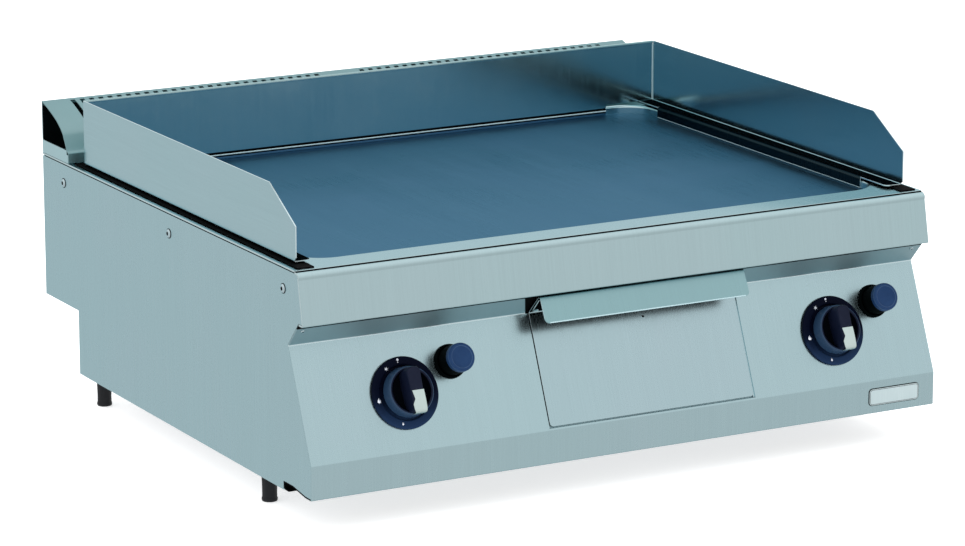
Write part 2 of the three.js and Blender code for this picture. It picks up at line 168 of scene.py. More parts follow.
def new_material(name):
    m = bpy.data.materials.new(name)
    m.use_nodes = True
    n = Nodes(m.node_tree)
    out = n.add("ShaderNodeOutputMaterial")
    b = n.add("ShaderNodeBsdfPrincipled")
    m.node_tree.links.new(b.outputs[0], out.inputs[0])
    return m, n, b


GRAIN = {"x": (1.0, 0.012, 0.012), "y": (0.012, 1.0, 0.012), "z": (0.012, 0.012, 1.0)}


def steel(name, color, across="x", rough=0.27, grain=900.0, grain_rough=0.05, streak=0.03, blotch=0.04,
          bump=0.035, tint=None, edge=(0.75, 0.9, 0.95), wave=0.03, scratches=0.10, smudge=0.03):
    """Brushed sheet. across is the axis that crosses the grain: the noise is fine along it and long on the others."""
    m, n, b = new_material(name)
    g = GRAIN[across]
    fine = n.noise(n.coords(tuple(grain * k for k in g)), 1.0, 3.0, 0.62)
    mid = n.noise(n.coords(tuple(grain * 0.16 * k for k in g), loc=(3.1, 1.7, 0.4)), 1.0, 4.0, 0.6)
    wide = n.noise(n.coords(tuple(26.0 * k for k in g), loc=(0.3, 5.7, 2.4)), 1.0, 3.0, 0.5)
    cloud = n.noise(n.coords((5.2, 5.2, 5.2)), 1.0, 3.0, 0.55, 0.6)
    hands = n.noise(n.coords((38, 38, 38), loc=(2, 9, 4)), 1.0, 4.0, 0.6, 1.4)
    scr = n.noise(n.coords(tuple((900.0 if k == 1.0 else 14.0) for k in g), loc=(7, 3, 1), rot=(0.03, 0.04, 0.02)), 1.0, 2.0, 0.4)
    c = tuple(color)
    dark = tuple(v * 0.92 for v in c)
    light = tuple(min(1.0, v * 1.06) for v in c)
    col = n.mix(n.range(fine, 0.3, 0.7, 0.0, 1.0), dark, light)
    col = n.mix(0.62, col, c)
    col = n.mix(n.range(mid, 0.35, 0.65, 0.0, streak * 2.0), col, tuple(v * 0.8 for v in c))
    col = n.mix(n.range(wide, 0.38, 0.66, 0.0, streak * 2.2), col, tuple(min(1, v * 1.13) for v in c))
    second = tint or tuple(v * k for v, k in zip(c, (1.08, 1.0, 1.02)))
    col = n.mix(n.range(cloud, 0.35, 0.7, 0.0, blotch * 8), col, second)
    scratch = n.range(scr, 0.70, 0.78, 0.0, scratches)
    col = n.mix(scratch, col, tuple(min(1, v * 1.25) for v in c))
    r = n.math("ADD", n.range(fine, 0.3, 0.7, rough - grain_rough / 2, rough + grain_rough / 2),
               n.range(hands, 0.5, 0.72, 0.0, smudge))
    r = n.math("ADD", r, n.range(cloud, 0.4, 0.7, -0.015, 0.025))
    nor = n.bump(wide, wave, 0.0012)
    nor = n.bump(cloud, wave * 0.8, 0.0030, nor)
    nor = n.bump(fine, bump, 0.00012, nor)
    nor = n.bump(mid, bump * 0.9, 0.00025, nor)
    n.put(b, Base_Color=col, Roughness=r, Normal=nor, Metallic=1.0)
    b.inputs["Specular Tint"].default_value = (*edge, 1.0)
    return m


def plastic(name, color, rough=0.38, coarse=260.0, bump=0.25, dust=0.12, spec=0.5, coat=0.0, warm=None, paler_below=None):
    m, n, b = new_material(name)
    grainy = n.noise(n.coords((coarse * 8,) * 3), 1.0, 2.0, 0.5)
    peel = n.noise(n.coords((coarse,) * 3, loc=(1, 4, 2)), 1.0, 3.0, 0.6)
    cloud = n.noise(n.coords((34, 34, 34)), 1.0, 4.0, 0.6, 0.8)
    c = tuple(color)
    col = n.mix(n.range(cloud, 0.35, 0.7, 0.0, 0.55), c, warm or tuple(v * 1.45 + 0.004 for v in c))
    col = n.mix(n.range(peel, 0.6, 0.8, 0.0, dust), col, (0.20, 0.23, 0.27))
    if paler_below:                          # (height from, height to, colour): paler towards the foot
        tc = n.add("ShaderNodeTexCoord")
        sep = n.add("ShaderNodeSeparateXYZ")
        m.node_tree.links.new(tc.outputs["Object"], sep.inputs[0])
        h = n.math("ADD", sep.outputs[2], n.range(cloud, 0.3, 0.7, -0.006, 0.006))
        col = n.mix(n.range(h, paler_below[0], paler_below[1], 1.0, 0.0, True), col, paler_below[2])
    r = n.math("ADD", n.range(cloud, 0.3, 0.7, rough - 0.05, rough + 0.07), n.range(grainy, 0.3, 0.7, -0.02, 0.03))
    nor = n.bump(grainy, bump, 0.00008)
    nor = n.bump(peel, bump * 0.5, 0.00015, nor)
    n.put(b, Base_Color=col, Roughness=r, Normal=nor, Metallic=0.0, Specular_IOR_Level=spec, Coat_Weight=coat)
    b.inputs["Coat Roughness"].default_value = 0.2
    return m


CASING = (0.47, 0.645, 0.685)
M = {}
M["side"] = steel("steel_side_panel", CASING, "y", rough=0.26)
M["front"] = steel("steel_control_panel", CASING, "x", rough=0.26)
M["drawer"] = steel("steel_drawer", (0.47, 0.635, 0.68), "x", rough=0.26)
# the handle flap's steel is darker than the drawer's: painted shade, as the flap hangs in its own shadow
M["flap"] = steel("steel_handle_flap_painted_shade", (0.315, 0.515, 0.545), "x", rough=0.30)
# darker, rougher steel inside the finger recess and behind the drawer joint: painted shade
M["recess"] = steel("steel_recess_painted_shade", (0.40, 0.56, 0.60), "x", rough=0.55)
M["shade"] = steel("steel_in_shade", (0.010, 0.014, 0.016), "x", rough=0.50, edge=(0.05, 0.06, 0.06))
M["top"] = steel("steel_worktop", (0.49, 0.66, 0.69), "x", rough=0.20)
M["guard_side"] = steel("steel_guard_side", (0.47, 0.645, 0.685), "z", rough=0.17, wave=0.02)
M["guard_rear"] = steel("steel_guard_rear", (0.46, 0.65, 0.67), "x", rough=0.17, streak=0.035, wave=0.02)
# near-black steel on the guards' flange and lip: painted shade and painted reflection
M["guard_foot"] = steel("steel_guard_foot_painted_shade", (0.035, 0.052, 0.060), "y", rough=0.25, edge=(0.10, 0.14, 0.16))
# pale diffuse colour on hems, seams, the rear bead and the guards' lower edges: a painted highlight
M["edge"] = plastic("edge_line_painted_highlight", (0.40, 0.55, 0.59), rough=0.4, dust=0.02, spec=0.3, warm=(0.45, 0.60, 0.64))
# softer pale steel on the worktop's cut edges: a painted highlight
M["rim_soft"] = steel("steel_edge_soft_painted_highlight", (0.66, 0.80, 0.82), "x", rough=0.35)
# pale steel on the sheets' cut edges and on the fold at the back of the finger recess: a painted highlight
M["rim"] = steel("steel_edge_painted_highlight", (0.76, 0.93, 0.97), "x", rough=0.35, edge=(1.0, 1.0, 1.0))
M["flue"] = steel("steel_flue", (0.29, 0.45, 0.47), "x", rough=0.46, streak=0.02)
M["flue_box"] = steel("steel_flue_box", (0.54, 0.74, 0.77), "x", rough=0.36, streak=0.02)
M["rear"] = steel("steel_rear", (0.46, 0.62, 0.655), "x", rough=0.33)
# polished, and with a base much paler than the sheet's: partly its polish, partly a painted highlight
M["polished"] = steel("steel_polished_painted_highlight", (0.88, 0.95, 0.95), "x", rough=0.18, grain_rough=0.05, bump=0.03)
M["inner"] = steel("steel_mill_finish", (0.26, 0.30, 0.32), "x", rough=0.42, grain=240, blotch=0.09, streak=0.06, bump=0.1)
M["burner"] = steel("steel_heat_dulled", (0.17, 0.16, 0.155), "y", rough=0.5, grain=200, blotch=0.12, tint=(0.20, 0.14, 0.10), bump=0.1)
M["brass"] = steel("brass_fittings", (0.62, 0.45, 0.19), "z", rough=0.34, grain=500, tint=(0.45, 0.30, 0.14), edge=(0.9, 0.8, 0.6), bump=0.1)
M["screw"] = steel("screw_zinc", (0.58, 0.72, 0.76), "z", rough=0.2, grain=1500, bump=0.1)
M["stem"] = steel("stem_steel", (0.55, 0.58, 0.60), "z", rough=0.25, grain=1500)
M["insert"] = steel("knob_insert_silver", (0.66, 0.80, 0.77), "x", rough=0.35, grain=1800, grain_rough=0.06, bump=0.06, streak=0.03)
# flat black used as painted shade: the worktop joint, the guard and side foot strips, the front stays, the recess liner
# and the dark centres of screws, rivets and the eyelet; on the rating plate it is also the printed border line
M["flat_black"] = plastic("flat_black_painted_shade_and_print", (0.0012, 0.0016, 0.002), rough=0.7, dust=0.01, spec=0.03, warm=(0.002, 0.002, 0.002))
M["knob"] = plastic("knob_moulded_black", (0.0035, 0.006, 0.018), rough=0.38, dust=0.01, spec=0.12)
M["knob_wall"] = plastic("knob_collar_blue_black", (0.015, 0.036, 0.074), rough=0.36, dust=0.02, spec=0.20, warm=(0.016, 0.040, 0.084))
# darker than the knob's own black: painted shade inside the crown's hollow
M["hollow"] = plastic("knob_hollow_painted_shade", (0.0008, 0.0014, 0.003), rough=0.6, dust=0.0, spec=0.02, warm=(0.001, 0.002, 0.004))
M["bezel"] = plastic("bezel_moulded_black", (0.0012, 0.0022, 0.009), rough=0.42, dust=0.01, spec=0.03, warm=(0.002, 0.004, 0.013), paler_below=(0.105, 0.148, (0.010, 0.025, 0.064)))
M["mark"] = plastic("dial_print_white", (0.62, 0.66, 0.74), rough=0.5, bump=0.1, dust=0.2, warm=(0.72, 0.75, 0.80))
M["cap"] = plastic("igniter_cap_navy", (0.007, 0.026, 0.078), rough=0.36, dust=0.02, warm=(0.016, 0.047, 0.125), spec=0.10)
# a paler ring where the cap's edge catches light: a painted highlight
M["cap_rim"] = plastic("igniter_cap_rim_painted_highlight", (0.022, 0.052, 0.115), rough=0.4, dust=0.02, spec=0.15)
M["collar"] = plastic("igniter_collar_black", (0.0006, 0.0016, 0.0018), rough=0.55, dust=0.005, spec=0.01, warm=(0.001, 0.002, 0.002))
M["foot"] = plastic("foot_moulded_black", (0.004, 0.005, 0.007), rough=0.45, dust=0.06, spec=0.3)
M["ceramic"] = plastic("ceramic_glaze", (0.62, 0.60, 0.54), rough=0.22, coat=0.3, warm=(0.70, 0.66, 0.58))


def griddle_material():
    """Ground steel: long grinding marks from front to rear, darker seasoning in clouds, and darker towards its left and
    right edges.
    """
    m, n, b = new_material("griddle_ground_steel")
    fine = n.noise(n.coords((1400, 9, 9)), 1.0, 3.0, 0.6)
    mid = n.noise(n.coords((170, 3.0, 3.0), loc=(4, 1, 0)), 1.0, 4.0, 0.62)
    broad = n.noise(n.coords((22, 1.6, 1.6), loc=(2, 7, 0)), 1.0, 3.0, 0.5)
    cloud = n.noise(n.coords((4.2, 4.2, 4.2)), 1.0, 4.0, 0.6, 0.9)
    spots = n.noise(n.coords((60, 60, 60), loc=(5, 2, 1)), 1.0, 4.0, 0.62, 1.2)
    tc = n.add("ShaderNodeTexCoord")
    sep = n.add("ShaderNodeSeparateXYZ")
    m.node_tree.links.new(tc.outputs["Object"], sep.inputs[0])
    rim = n.range(n.math("ABSOLUTE", sep.outputs[0]), 0.33, 0.368, 0.0, 0.35, True)
    base = (0.146, 0.278, 0.395)
    col = n.mix(n.range(fine, 0.3, 0.7, 0.0, 1.0), tuple(v * 0.78 for v in base), tuple(v * 1.22 for v in base))
    col = n.mix(0.55, col, base)
    col = n.mix(n.range(mid, 0.35, 0.68, 0.0, 0.30), col, (0.150, 0.300, 0.425))
    col = n.mix(n.range(broad, 0.4, 0.7, 0.0, 0.30), col, (0.112, 0.235, 0.345))
    col = n.mix(n.range(cloud, 0.42, 0.72, 0.0, 0.35), col, (0.135, 0.255, 0.400))
    col = n.mix(n.range(spots, 0.60, 0.74, 0.0, 0.18), col, (0.080, 0.150, 0.210))
    col = n.mix(rim, col, (0.080, 0.150, 0.200))
    r = n.math("ADD", n.range(fine, 0.3, 0.7, 0.28, 0.36), n.range(cloud, 0.35, 0.7, -0.03, 0.05))
    nor = n.bump(mid, 0.10, 0.0004)
    nor = n.bump(fine, 0.12, 0.00012, nor)
    nor = n.bump(spots, 0.05, 0.0003, nor)
    n.put(b, Base_Color=col, Roughness=r, Normal=nor, Metallic=1.0)
    b.inputs["Specular Tint"].default_value = (0.40, 0.55, 0.66, 1.0)
    return m


def label_material():
    """Satin foil; it carries no lettering, and the fine printed border line is a ring of the plate's mesh."""
    m, n, b = new_material("rating_plate_foil")
    fine = n.noise(n.coords((1800, 30, 30)), 1.0, 3.0, 0.6)
    cloud = n.noise(n.coords((70, 70, 70)), 1.0, 3.0, 0.5)
    col = n.mix(n.range(fine, 0.3, 0.7, 0.0, 0.6), (0.44, 0.54, 0.56), (0.52, 0.61, 0.63))
    col = n.mix(n.range(cloud, 0.4, 0.7, 0.0, 0.4), col, (0.42, 0.52, 0.54))
    r = n.range(fine, 0.3, 0.7, 0.34, 0.46)
    n.put(b, Base_Color=col, Roughness=r, Normal=n.bump(fine, 0.1, 0.0001), Metallic=0.35)
    return m


M["griddle"] = griddle_material()
M["label"] = label_material()


# ------------------------------------------------------------------ mesh helpers
def piece(name, verts, faces, mats, body, replaces=(), idx=None, solid=None, hint=None,
          bevel=None, seg=2, limit=32, matrix=None, merge=0.005, weighted=True, rim=0, inner=0):
    """verts are in the millimetre drawing frame, or in matrix's local millimetres. mats is one material name or several, and
    idx gives each face's. solid thickens a sheet away from the side that hint faces."""
    mesh = bpy.data.meshes.new(name)
    if matrix is None:
        pts = [P(*v) for v in verts]
    else:
        pts = [matrix @ (Vector(v) / 1000) for v in verts]
    mesh.from_pydata(pts, [], faces)
    names = [mats] if isinstance(mats, str) else list(mats)
    for k in names:
        mesh.materials.append(M[k])
    if idx:
        mesh.polygons.foreach_set("material_index", idx)
    bm = bmesh.new()
    bm.from_mesh(mesh)
    bmesh.ops.remove_doubles(bm, verts=bm.verts, dist=merge / 1000)
    bmesh.ops.recalc_face_normals(bm, faces=bm.faces)
    if hint is not None:
        total = Vector()
        for f in bm.faces:
            total += f.normal * f.calc_area()
        if total.dot(Vector(hint)) < 0:
            bmesh.ops.reverse_faces(bm, faces=bm.faces)
    for f in bm.faces:
        f.smooth = True
    bm.to_mesh(mesh)
    bm.free()
    ob = bpy.data.objects.new(name, mesh)
    scene.collection.objects.link(ob)
    if solid:
        md = ob.modifiers.new("sheet", "SOLIDIFY")
        md.thickness = solid / 1000
        md.offset = -1
        md.use_even_offset = True
        md.use_quality_normals = True
        md.material_offset_rim = rim
        md.material_offset = inner
    if bevel:
        md = ob.modifiers.new("edges", "BEVEL")
        md.width = bevel / 1000
        md.segments = seg
        md.limit_method = "ANGLE"
        md.angle_limit = math.radians(limit)
        md.use_clamp_overlap = True
    if weighted:
        md = ob.modifiers.new("normals", "WEIGHTED_NORMAL")
        md.keep_sharp = True
        md.weight = 50
    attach(ob, body)
    if replaces:
        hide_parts(*([replaces] if isinstance(replaces, str) else replaces))
    return ob


def fillet(points, radii, seg=5):
    """Rounds the inner corners of an open line. radii is one number or one per point."""
    if not hasattr(radii, "__len__"):
        radii = [0] + [radii] * (len(points) - 2) + [0]
    out = []
    for i, p in enumerate(points):
        r = radii[i]
        if i in (0, len(points) - 1) or r <= 0:
            out.append(tuple(p))
            continue
        p = Vector(p)
        a, c = (Vector(points[i - 1]) - p), (Vector(points[i + 1]) - p)
        ua, uc = a.normalized(), c.normalized()
        ang = math.acos(max(-1, min(1, ua.dot(uc))))
        t = min(r / math.tan(ang / 2), a.length * 0.49, c.length * 0.49)
        rr = t * math.tan(ang / 2)
        centre = p + (ua + uc).normalized() * (rr / math.sin(ang / 2))
        s, e = p + ua * t - centre, p + uc * t - centre
        a0, a1 = math.atan2(s.y, s.x), math.atan2(e.y, e.x)
        d = (a1 - a0 + math.pi) % (2 * math.pi) - math.pi
        for k in range(seg + 1):
            q = a0 + d * k / seg
            out.append((centre.x + rr * math.cos(q), centre.y + rr * math.sin(q)))
    return out


def strip(profile, xs, skip=None, mat=None):
    """A line in (y, z) swept over the stations xs. Returns verts, faces, face material indices."""
    verts = [(x, y, z) for x in xs for (y, z) in profile]
    n, faces, idx = len(profile), [], []
    for j in range(len(xs) - 1):
        for i in range(n - 1):
            if skip and skip(i, j):
                continue
            faces.append((j * n + i, j * n + i + 1, (j + 1) * n + i + 1, (j + 1) * n + i))
            idx.append(mat(i, j) if mat else 0)
    return verts, faces, idx


def joined(*parts):
    verts, faces, idx = [], [], []
    for part in parts:
        v, f, m = part if len(part) == 3 else (*part, [0] * len(part[1]))
        k = len(verts)
        verts += v
        faces += [tuple(q + k for q in face) for face in f]
        idx += m
    return verts, faces, idx


def rrect(x0, x1, y0, y1, r, n=9):
    out = []
    for cx, cy, a in ((x1 - r, y0 + r, -90), (x1 - r, y1 - r, 0), (x0 + r, y1 - r, 90), (x0 + r, y0 + r, 180)):
        for k in range(n + 1):
            q = math.radians(a + 90 * k / n)
            out.append((cx + r * math.cos(q), cy + r * math.sin(q)))
    return out


def inside(p, poly):
    hit, n = False, len(poly)
    for i in range(n):
        (ax, ay), (bx, by) = poly[i], poly[(i + 1) % n]
        if (ay > p[1]) != (by > p[1]) and p[0] < (bx - ax) * (p[1] - ay) / (by - ay) + ax:
            hit = not hit
    return hit


def planar(outer, holes, place):
    """A flat face with holes as triangles; place turns its 2-D points into 3-D ones."""
    pts, edges = [], []
    for loop in [outer, *holes]:
        k = len(pts)
        pts += [Vector(p) for p in loop]
        edges += [(k + i, k + (i + 1) % len(loop)) for i in range(len(loop))]
    vs, _, fs, *_ = delaunay_2d_cdt(pts, edges, [], 0, 1e-6)
    faces = []
    for f in fs:
        c = (sum(vs[i].x for i in f) / len(f), sum(vs[i].y for i in f) / len(f))
        if inside(c, outer) and not any(inside(c, h) for h in holes):
            faces.append(tuple(f))
    return [place(v.x, v.y) for v in vs], faces, [0] * len(faces)


def bridge(loops):
    """Quads between closed loops of the same length."""
    verts, faces = [v for l in loops for v in l], []
    n = len(loops[0])
    for k in range(len(loops) - 1):
        for i in range(n):
            j = (i + 1) % n
            faces.append((k * n + i, k * n + j, (k + 1) * n + j, (k + 1) * n + i))
    return verts, faces, [0] * len(faces)


def lathe(profile, seg=48, fold=None):
    """[radius, height] pairs turned about local Z; a radius of 0 closes the end. fold(angle, r, h) may change the radius."""
    verts, faces = [], []
    rings = []
    for r, h in profile:
        if r <= 1e-6:
            rings.append([len(verts)])
            verts.append((0, 0, h))
        else:
            ring = []
            for k in range(seg):
                a = 2 * math.pi * k / seg
                rr = fold(a, r, h) if fold else r
                ring.append(len(verts))
                verts.append((rr * math.cos(a), rr * math.sin(a), h))
            rings.append(ring)
    for a, b in zip(rings, rings[1:]):
        for k in range(seg):
            j = (k + 1) % seg
            if len(a) == 1 and len(b) == 1:
                continue
            if len(a) == 1:
                faces.append((a[0], b[j], b[k]))
            elif len(b) == 1:
                faces.append((a[k], a[j], b[0]))
            else:
                faces.append((a[k], a[j], b[j], b[k]))
    return verts, faces, [0] * len(faces)


def prism(outline, h0, h1, cap=0.0):
    """A closed block from a 2-D outline between two heights."""
    n = len(outline)
    verts = [(x, y, h0) for x, y in outline] + [(x, y, h1) for x, y in outline]
    faces = [tuple(range(n - 1, -1, -1)), tuple(range(n, 2 * n))]
    faces += [(i, (i + 1) % n, n + (i + 1) % n, n + i) for i in range(n)]
    return verts, faces, [0] * len(faces)


def on_panel(x, s):
    """Local X across, Y up the sloping panel, Z straight out of it, in metres."""
    o = P(x, s * CS, FOLD_Z + s * SN)
    return Matrix(((1, 0, 0, o.x), (0, CS, -SN, o.y), (0, SN, CS, o.z), (0, 0, 0, 1)))


def dress(node, mat, bevel=None, seg=1, name=None, limit=40):
    """A CAD node whose shape is right: its own mesh with the edges broken, as a piece that stands for it."""
    src = frame["nodes"][node]
    bm = bmesh.new()
    bm.from_mesh(src.data)
    bmesh.ops.remove_doubles(bm, verts=bm.verts, dist=2e-6)
    bmesh.ops.dissolve_limit(bm, angle_limit=math.radians(1.0), verts=bm.verts, edges=bm.edges)
    for f in bm.faces:
        f.smooth = True
    mesh = bpy.data.meshes.new(name or node + "_finish")
    bm.to_mesh(mesh)
    bm.free()
    mesh.materials.clear()
    mesh.materials.append(M[mat])
    ob = bpy.data.objects.new(name or node + "_finish", mesh)
    scene.collection.objects.link(ob)
    if bevel:
        md = ob.modifiers.new("edges", "BEVEL")
        md.width = bevel / 1000
        md.segments = seg
        md.limit_method = "ANGLE"
        md.angle_limit = math.radians(limit)
    md = ob.modifiers.new("normals", "WEIGHTED_NORMAL")
    md.keep_sharp = True
    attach(ob, src["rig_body"])
    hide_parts(node)
    return ob


def repaint(node, mat):
    o = frame["nodes"][node]
    o.data.materials.clear()
    o.data.materials.append(M[mat])


# ------------------------------------------------------------------ worktop
def worktop():
    edge_y = 33.4
    step = 1.6                       # the joint between the top sheet and the front fascia
    opening = [rrect(-WELL_X - k, WELL_X + k, WELL_Y0 - k, WELL_Y1 + k, WELL_R + k) for k in (3.0, 2.6, 1.7, 0.8, 0.2, 0.0)]
    depth = [0.0, -0.1, -0.45, -1.1, -2.0, -3.0]
    flue_hole = [(-304, 637), (304, 637), (304, 702.5), (-304, 702.5)]
    top = planar([(-HALF_W, edge_y + 0.5), (HALF_W, edge_y + 0.5), (HALF_W, REAR_Y), (-HALF_W, REAR_Y)],
                 [opening[0], flue_hole], lambda x, y: (x, y, 0))
    loops = [[(x, y, z) for x, y in l] for l, z in zip(opening, depth)]
    loops.append([(x, y, -14.9) for x, y in opening[-1]])
    well = bridge(loops)
    # front edge: rolled end of the top sheet, a joint painted flat black as painted shade for the gap, bead-shaped
    # nose, band and lip
    cy, cz, r = 31.6, -step - 5.6, 5.6
    nose = [(cy + r * math.cos(math.radians(a)), cz + r * math.sin(math.radians(a))) for a in range(90, 186, 8)]
    line = [(edge_y + 0.5, 0), (edge_y + 0.15, -0.12), (edge_y, -0.45), (edge_y, -step)] + nose
    flat_black = {2, 3}
    line += fillet([nose[-1], (26.55, -9.3), (BAND_Y, BAND_Z), (LIP_Y, BAND_Z)], [0, 0.6, 1.4, 0], 4)[1:]
    front = strip(line, [-HALF_W, HALF_W], mat=lambda i, j: 1 if i in flat_black else 0)
    v, f, m = joined(top, well, front)
    return piece("worktop_sheet", v, f, ["top", "flat_black", "rim_soft"], "casing", "worktop", m, solid=2.0, hint=(0, -0.2, 1),
                 bevel=0.3, seg=2, limit=50, rim=2)


worktop()


def griddle():
    loops = []
    for k, z in ((0.5, -21.9), (0.4, -21.2), (0.4, -11.2), (0.55, -10.6), (0.9, -10.2), (1.6, -10.0)):
        loops.append([(x, y, z) for x, y in rrect(-WELL_X + k, WELL_X - k, WELL_Y0 + k, WELL_Y1 - k, WELL_R - k)])
    v, f, m = bridge(loops)
    n = len(loops[0])
    f += [tuple(range(n - 1, -1, -1)), tuple(range(len(v) - n, len(v)))]
    return piece("griddle_plate_ground", v, f, "griddle", "casing", "griddle_plate")


griddle()


# ------------------------------------------------------------------ casing
def casing():
    outline = [(31.5, -3.3), (28.9, -5.8), (19.3, -56.5), (27.2, -56.5), (28.0, -57.5), (53.2, -85.4),
               (1.8, -207.9), (1.8, -244.2), (14.5, -244.2), (45, -240), (67.5, -240),
               (67.5, -250), (611, -250), (611, -173), (REAR_Y, -173), (REAR_Y, -3.3)]
    for side, k in SIDES:
        holes = [[(y + 2.4 * math.cos(a * math.pi / 6), -25.3 + 2.4 * math.sin(a * math.pi / 6)) for a in range(12)]
                 for y in (645.6, 351.7, 62.9)]
        v, f, m = planar(outline, holes, lambda y, z, k=k: (k * HALF_W, y, z))
        piece("side_panel_sheet_" + side, v, f, "side", "casing", "side_panel_" + side, m,
              solid=1.5, hint=(k, 0, 0), bevel=0.25, seg=2)
        for where, y in (("rear", 645.6), ("mid", 351.7), ("front", 62.9)):
            # pan head with a ring and a socket; the ring round the head and the socket are flat black, a painted shadow
            # and painted shade
            prof = [(0, -9), (2.2, -9), (2.2, 0.1), (5.7, 0.12), (5.75, 0.35), (4.9, 0.5), (4.6, 1.1), (3.9, 1.65), (3.0, 1.95), (2.3, 2.0),
                    (2.1, 1.8), (2.0, 0.7), (0.9, 0.45), (0, 0.35)]
            v, f, _ = lathe(prof, 24)
            ids = [1 if (i // 24) >= 9 or (i // 24) in (3, 4) else 0 for i in range(len(f))]
            o = P(k * HALF_W, y, -25.3)
            mat = Matrix(((0, 0, k, o.x), (0, 1, 0, o.y), (-k, 0, 0, o.z), (0, 0, 0, 1)))
            piece(f"side_screw_head_{side}_{where}", v, f, ["screw", "flat_black"], "casing", f"side_screw_{side}_{where}",
                  ids, matrix=mat)


casing()


def control_panel():
    line = fillet([(LIP_Y + 0.7, BAND_Z - 0.7), (30.9, -63.5), (VEE_Y, VEE_Z), (2.2 * CS, FOLD_Z + 2.2 * SN), (0, FOLD_Z), (0, FRONT_BOTTOM), (14, FRONT_BOTTOM)],
                  [0, 0, 1.3, 0, 1.6, 1.8, 0], 5)
    cut = next(i for i, p in enumerate(line) if abs(p[1] - (FOLD_Z + 2.2 * SN)) < 1e-6)
    v_end = 7                         # the last point of the fold at the back of the finger recess
    xs = [-HALF_W, DX0 - 1.5, DX1 + 1.5, HALF_W]
    # the first face under the lip is flat black, a painted shadow of the gap; the next, into the recess, takes the
    # darker recess steel as painted shade; the fold at the back of the recess takes the pale edge steel as a painted
    # highlight
    v, f, m = strip(line, xs, skip=lambda i, j: (j == 1 and i < cut) or (j != 1 and i == v_end),
                    mat=lambda i, j: 2 if i == 0 else (1 if i == 1 else (3 if i < v_end else 0)))
    for i in range(v_end):            # the recess is cut back beside the handle's left end
        x, y, z = v[len(line) + i]
        v[len(line) + i] = (x - 3.0 - 13.5 * max(0.0, z - VEE_Z) / 26.0, y, z)
    parts = [(v, f, m)]
    # the sloping faces beside the drawer, with the holes for the valve stems and the igniters
    p_top, p_bot = line[v_end], line[cut]
    s_top = (p_top[1] - FOLD_Z) / SN
    for (x0, x1, k) in ((-HALF_W, DX0 - 1.5, -1), (DX1 + 1.5, HALF_W, 1)):
        holes = []
        for cx, cs, r in ((k * KNOB_X, KNOB_S, 8.0), (k * KNOB_X + BUTTON_DX, BUTTON_S, 13.0)):
            holes.append([(cx + r * math.cos(a * math.pi / 12), cs + r * math.sin(a * math.pi / 12)) for a in range(24)])
        parts.append(planar([(x0, 2.2), (x1, 2.2), (x1, s_top), (x0, s_top)], holes,
                            lambda x, s: (x, s * CS + (p_top[0] - s_top * CS) * (s - 2.2) / (s_top - 2.2), FOLD_Z + s * SN)))
    v, f, m = joined(*parts)
    piece("control_panel_sheet", v, f, ["front", "recess", "flat_black", "rim"], "casing", "control_panel", m, solid=1.5, hint=(0, -1, 0),
          bevel=0.25, seg=2)
    # dark liners behind the cut-back corner and behind the joint under the drawer: painted shade in these gaps
    v, f, m = strip([(31.0, -60.9), (55.5, -86.6), (54.0, -96.0)], [DX0 - 24, DX0 - 0.9])
    piece("recess_liner", v, f, "flat_black", "casing", solid=0.6, hint=(0, -1, -0.4))
    v, f, m = strip([(5.2, -203.7), (4.4, -206.9)], [DX0 - 1.0, DX1 + 1.0])
    piece("drawer_joint_liner", v, f, "recess", "casing", solid=0.6, hint=(0, -1, 0))
    piece("drawer_side_liner", [(x, y, -1.1) for x, y in ((DX1 - 0.6, 3), (DX1 + 2.2, 3), (DX1 + 2.2, 127), (DX1 - 0.6, 127))], [(0, 1, 2, 3)], "front", "casing",
          solid=0.4, hint=(0, -1, 0.4), matrix=on_panel(0, 0))
    # rivet heads at the ends of the finger recess, their hollow centres flat black as painted shade
    nrm = Vector((0, -0.742, -0.670))
    for side, k, x in (("left", -1, -391.5), ("right", 1, 388.5)):
        o = P(x, 34.2, -67.2)
        zx = nrm.normalized()
        xx = Vector((1, 0, 0))
        yx = zx.cross(xx)
        mat = Matrix(((xx.x, yx.x, zx.x, o.x), (xx.y, yx.y, zx.y, o.y), (xx.z, yx.z, zx.z, o.z), (0, 0, 0, 1)))
        v, f, _ = lathe([(0, -1.5), (1.2, -1.4), (1.2, -0.1), (2.5, -0.05), (2.6, 0.35), (2.1, 0.9), (1.4, 1.15), (0.95, 1.2), (0.8, 0.9), (0.75, 0.3), (0, 0.25)], 20)
        piece("recess_rivet_" + side, v, f, ["screw", "flat_black"], "casing", idx=[1 if i // 20 >= 7 else 0 for i in range(len(f))], matrix=mat)
        # front stay under the casing: folded strip behind the band's return, flat black as painted shade
        x0, x1 = (-399.6, -381) if k < 0 else (381, 399.6)
        stay = fillet([(15.5, -239.4), (60, -239.4), (65.9, -239.4), (65.9, -249.6), (55.5, -249.6)], [0, 0, 0.8, 0.8, 0], 3)
        v, f, m = strip(stay, [x0, x1])
        piece("front_stay_" + side, v, f, "flat_black", "casing", solid=1.3, hint=(0, 0, 1), bevel=0.15, seg=1)
        # flat black strip along the sloping lower edge of the side panel, from the stay to the front corner: a painted
        # shadow of the gap below the panel
        bx = (-400.35, -398.2) if k < 0 else (398.2, 400.35)
        edge = [(2.6, -245.5), (14.6, -245.5), (45.2, -241.2), (62.0, -241.2), (62.0, -239.9), (45.0, -239.9), (14.4, -244.1), (2.6, -244.1)]
        n = len(edge)
        vs = [(x, y, z) for x in bx for y, z in edge]
        fs = [tuple(range(n)), tuple(range(2 * n - 1, n - 1, -1))] + [(i, (i + 1) % n, n + (i + 1) % n, n + i) for i in range(n)]
        piece("side_foot_shadow_strip_" + side, vs, fs, "flat_black", "casing", bevel=0.12, seg=1)


control_panel()


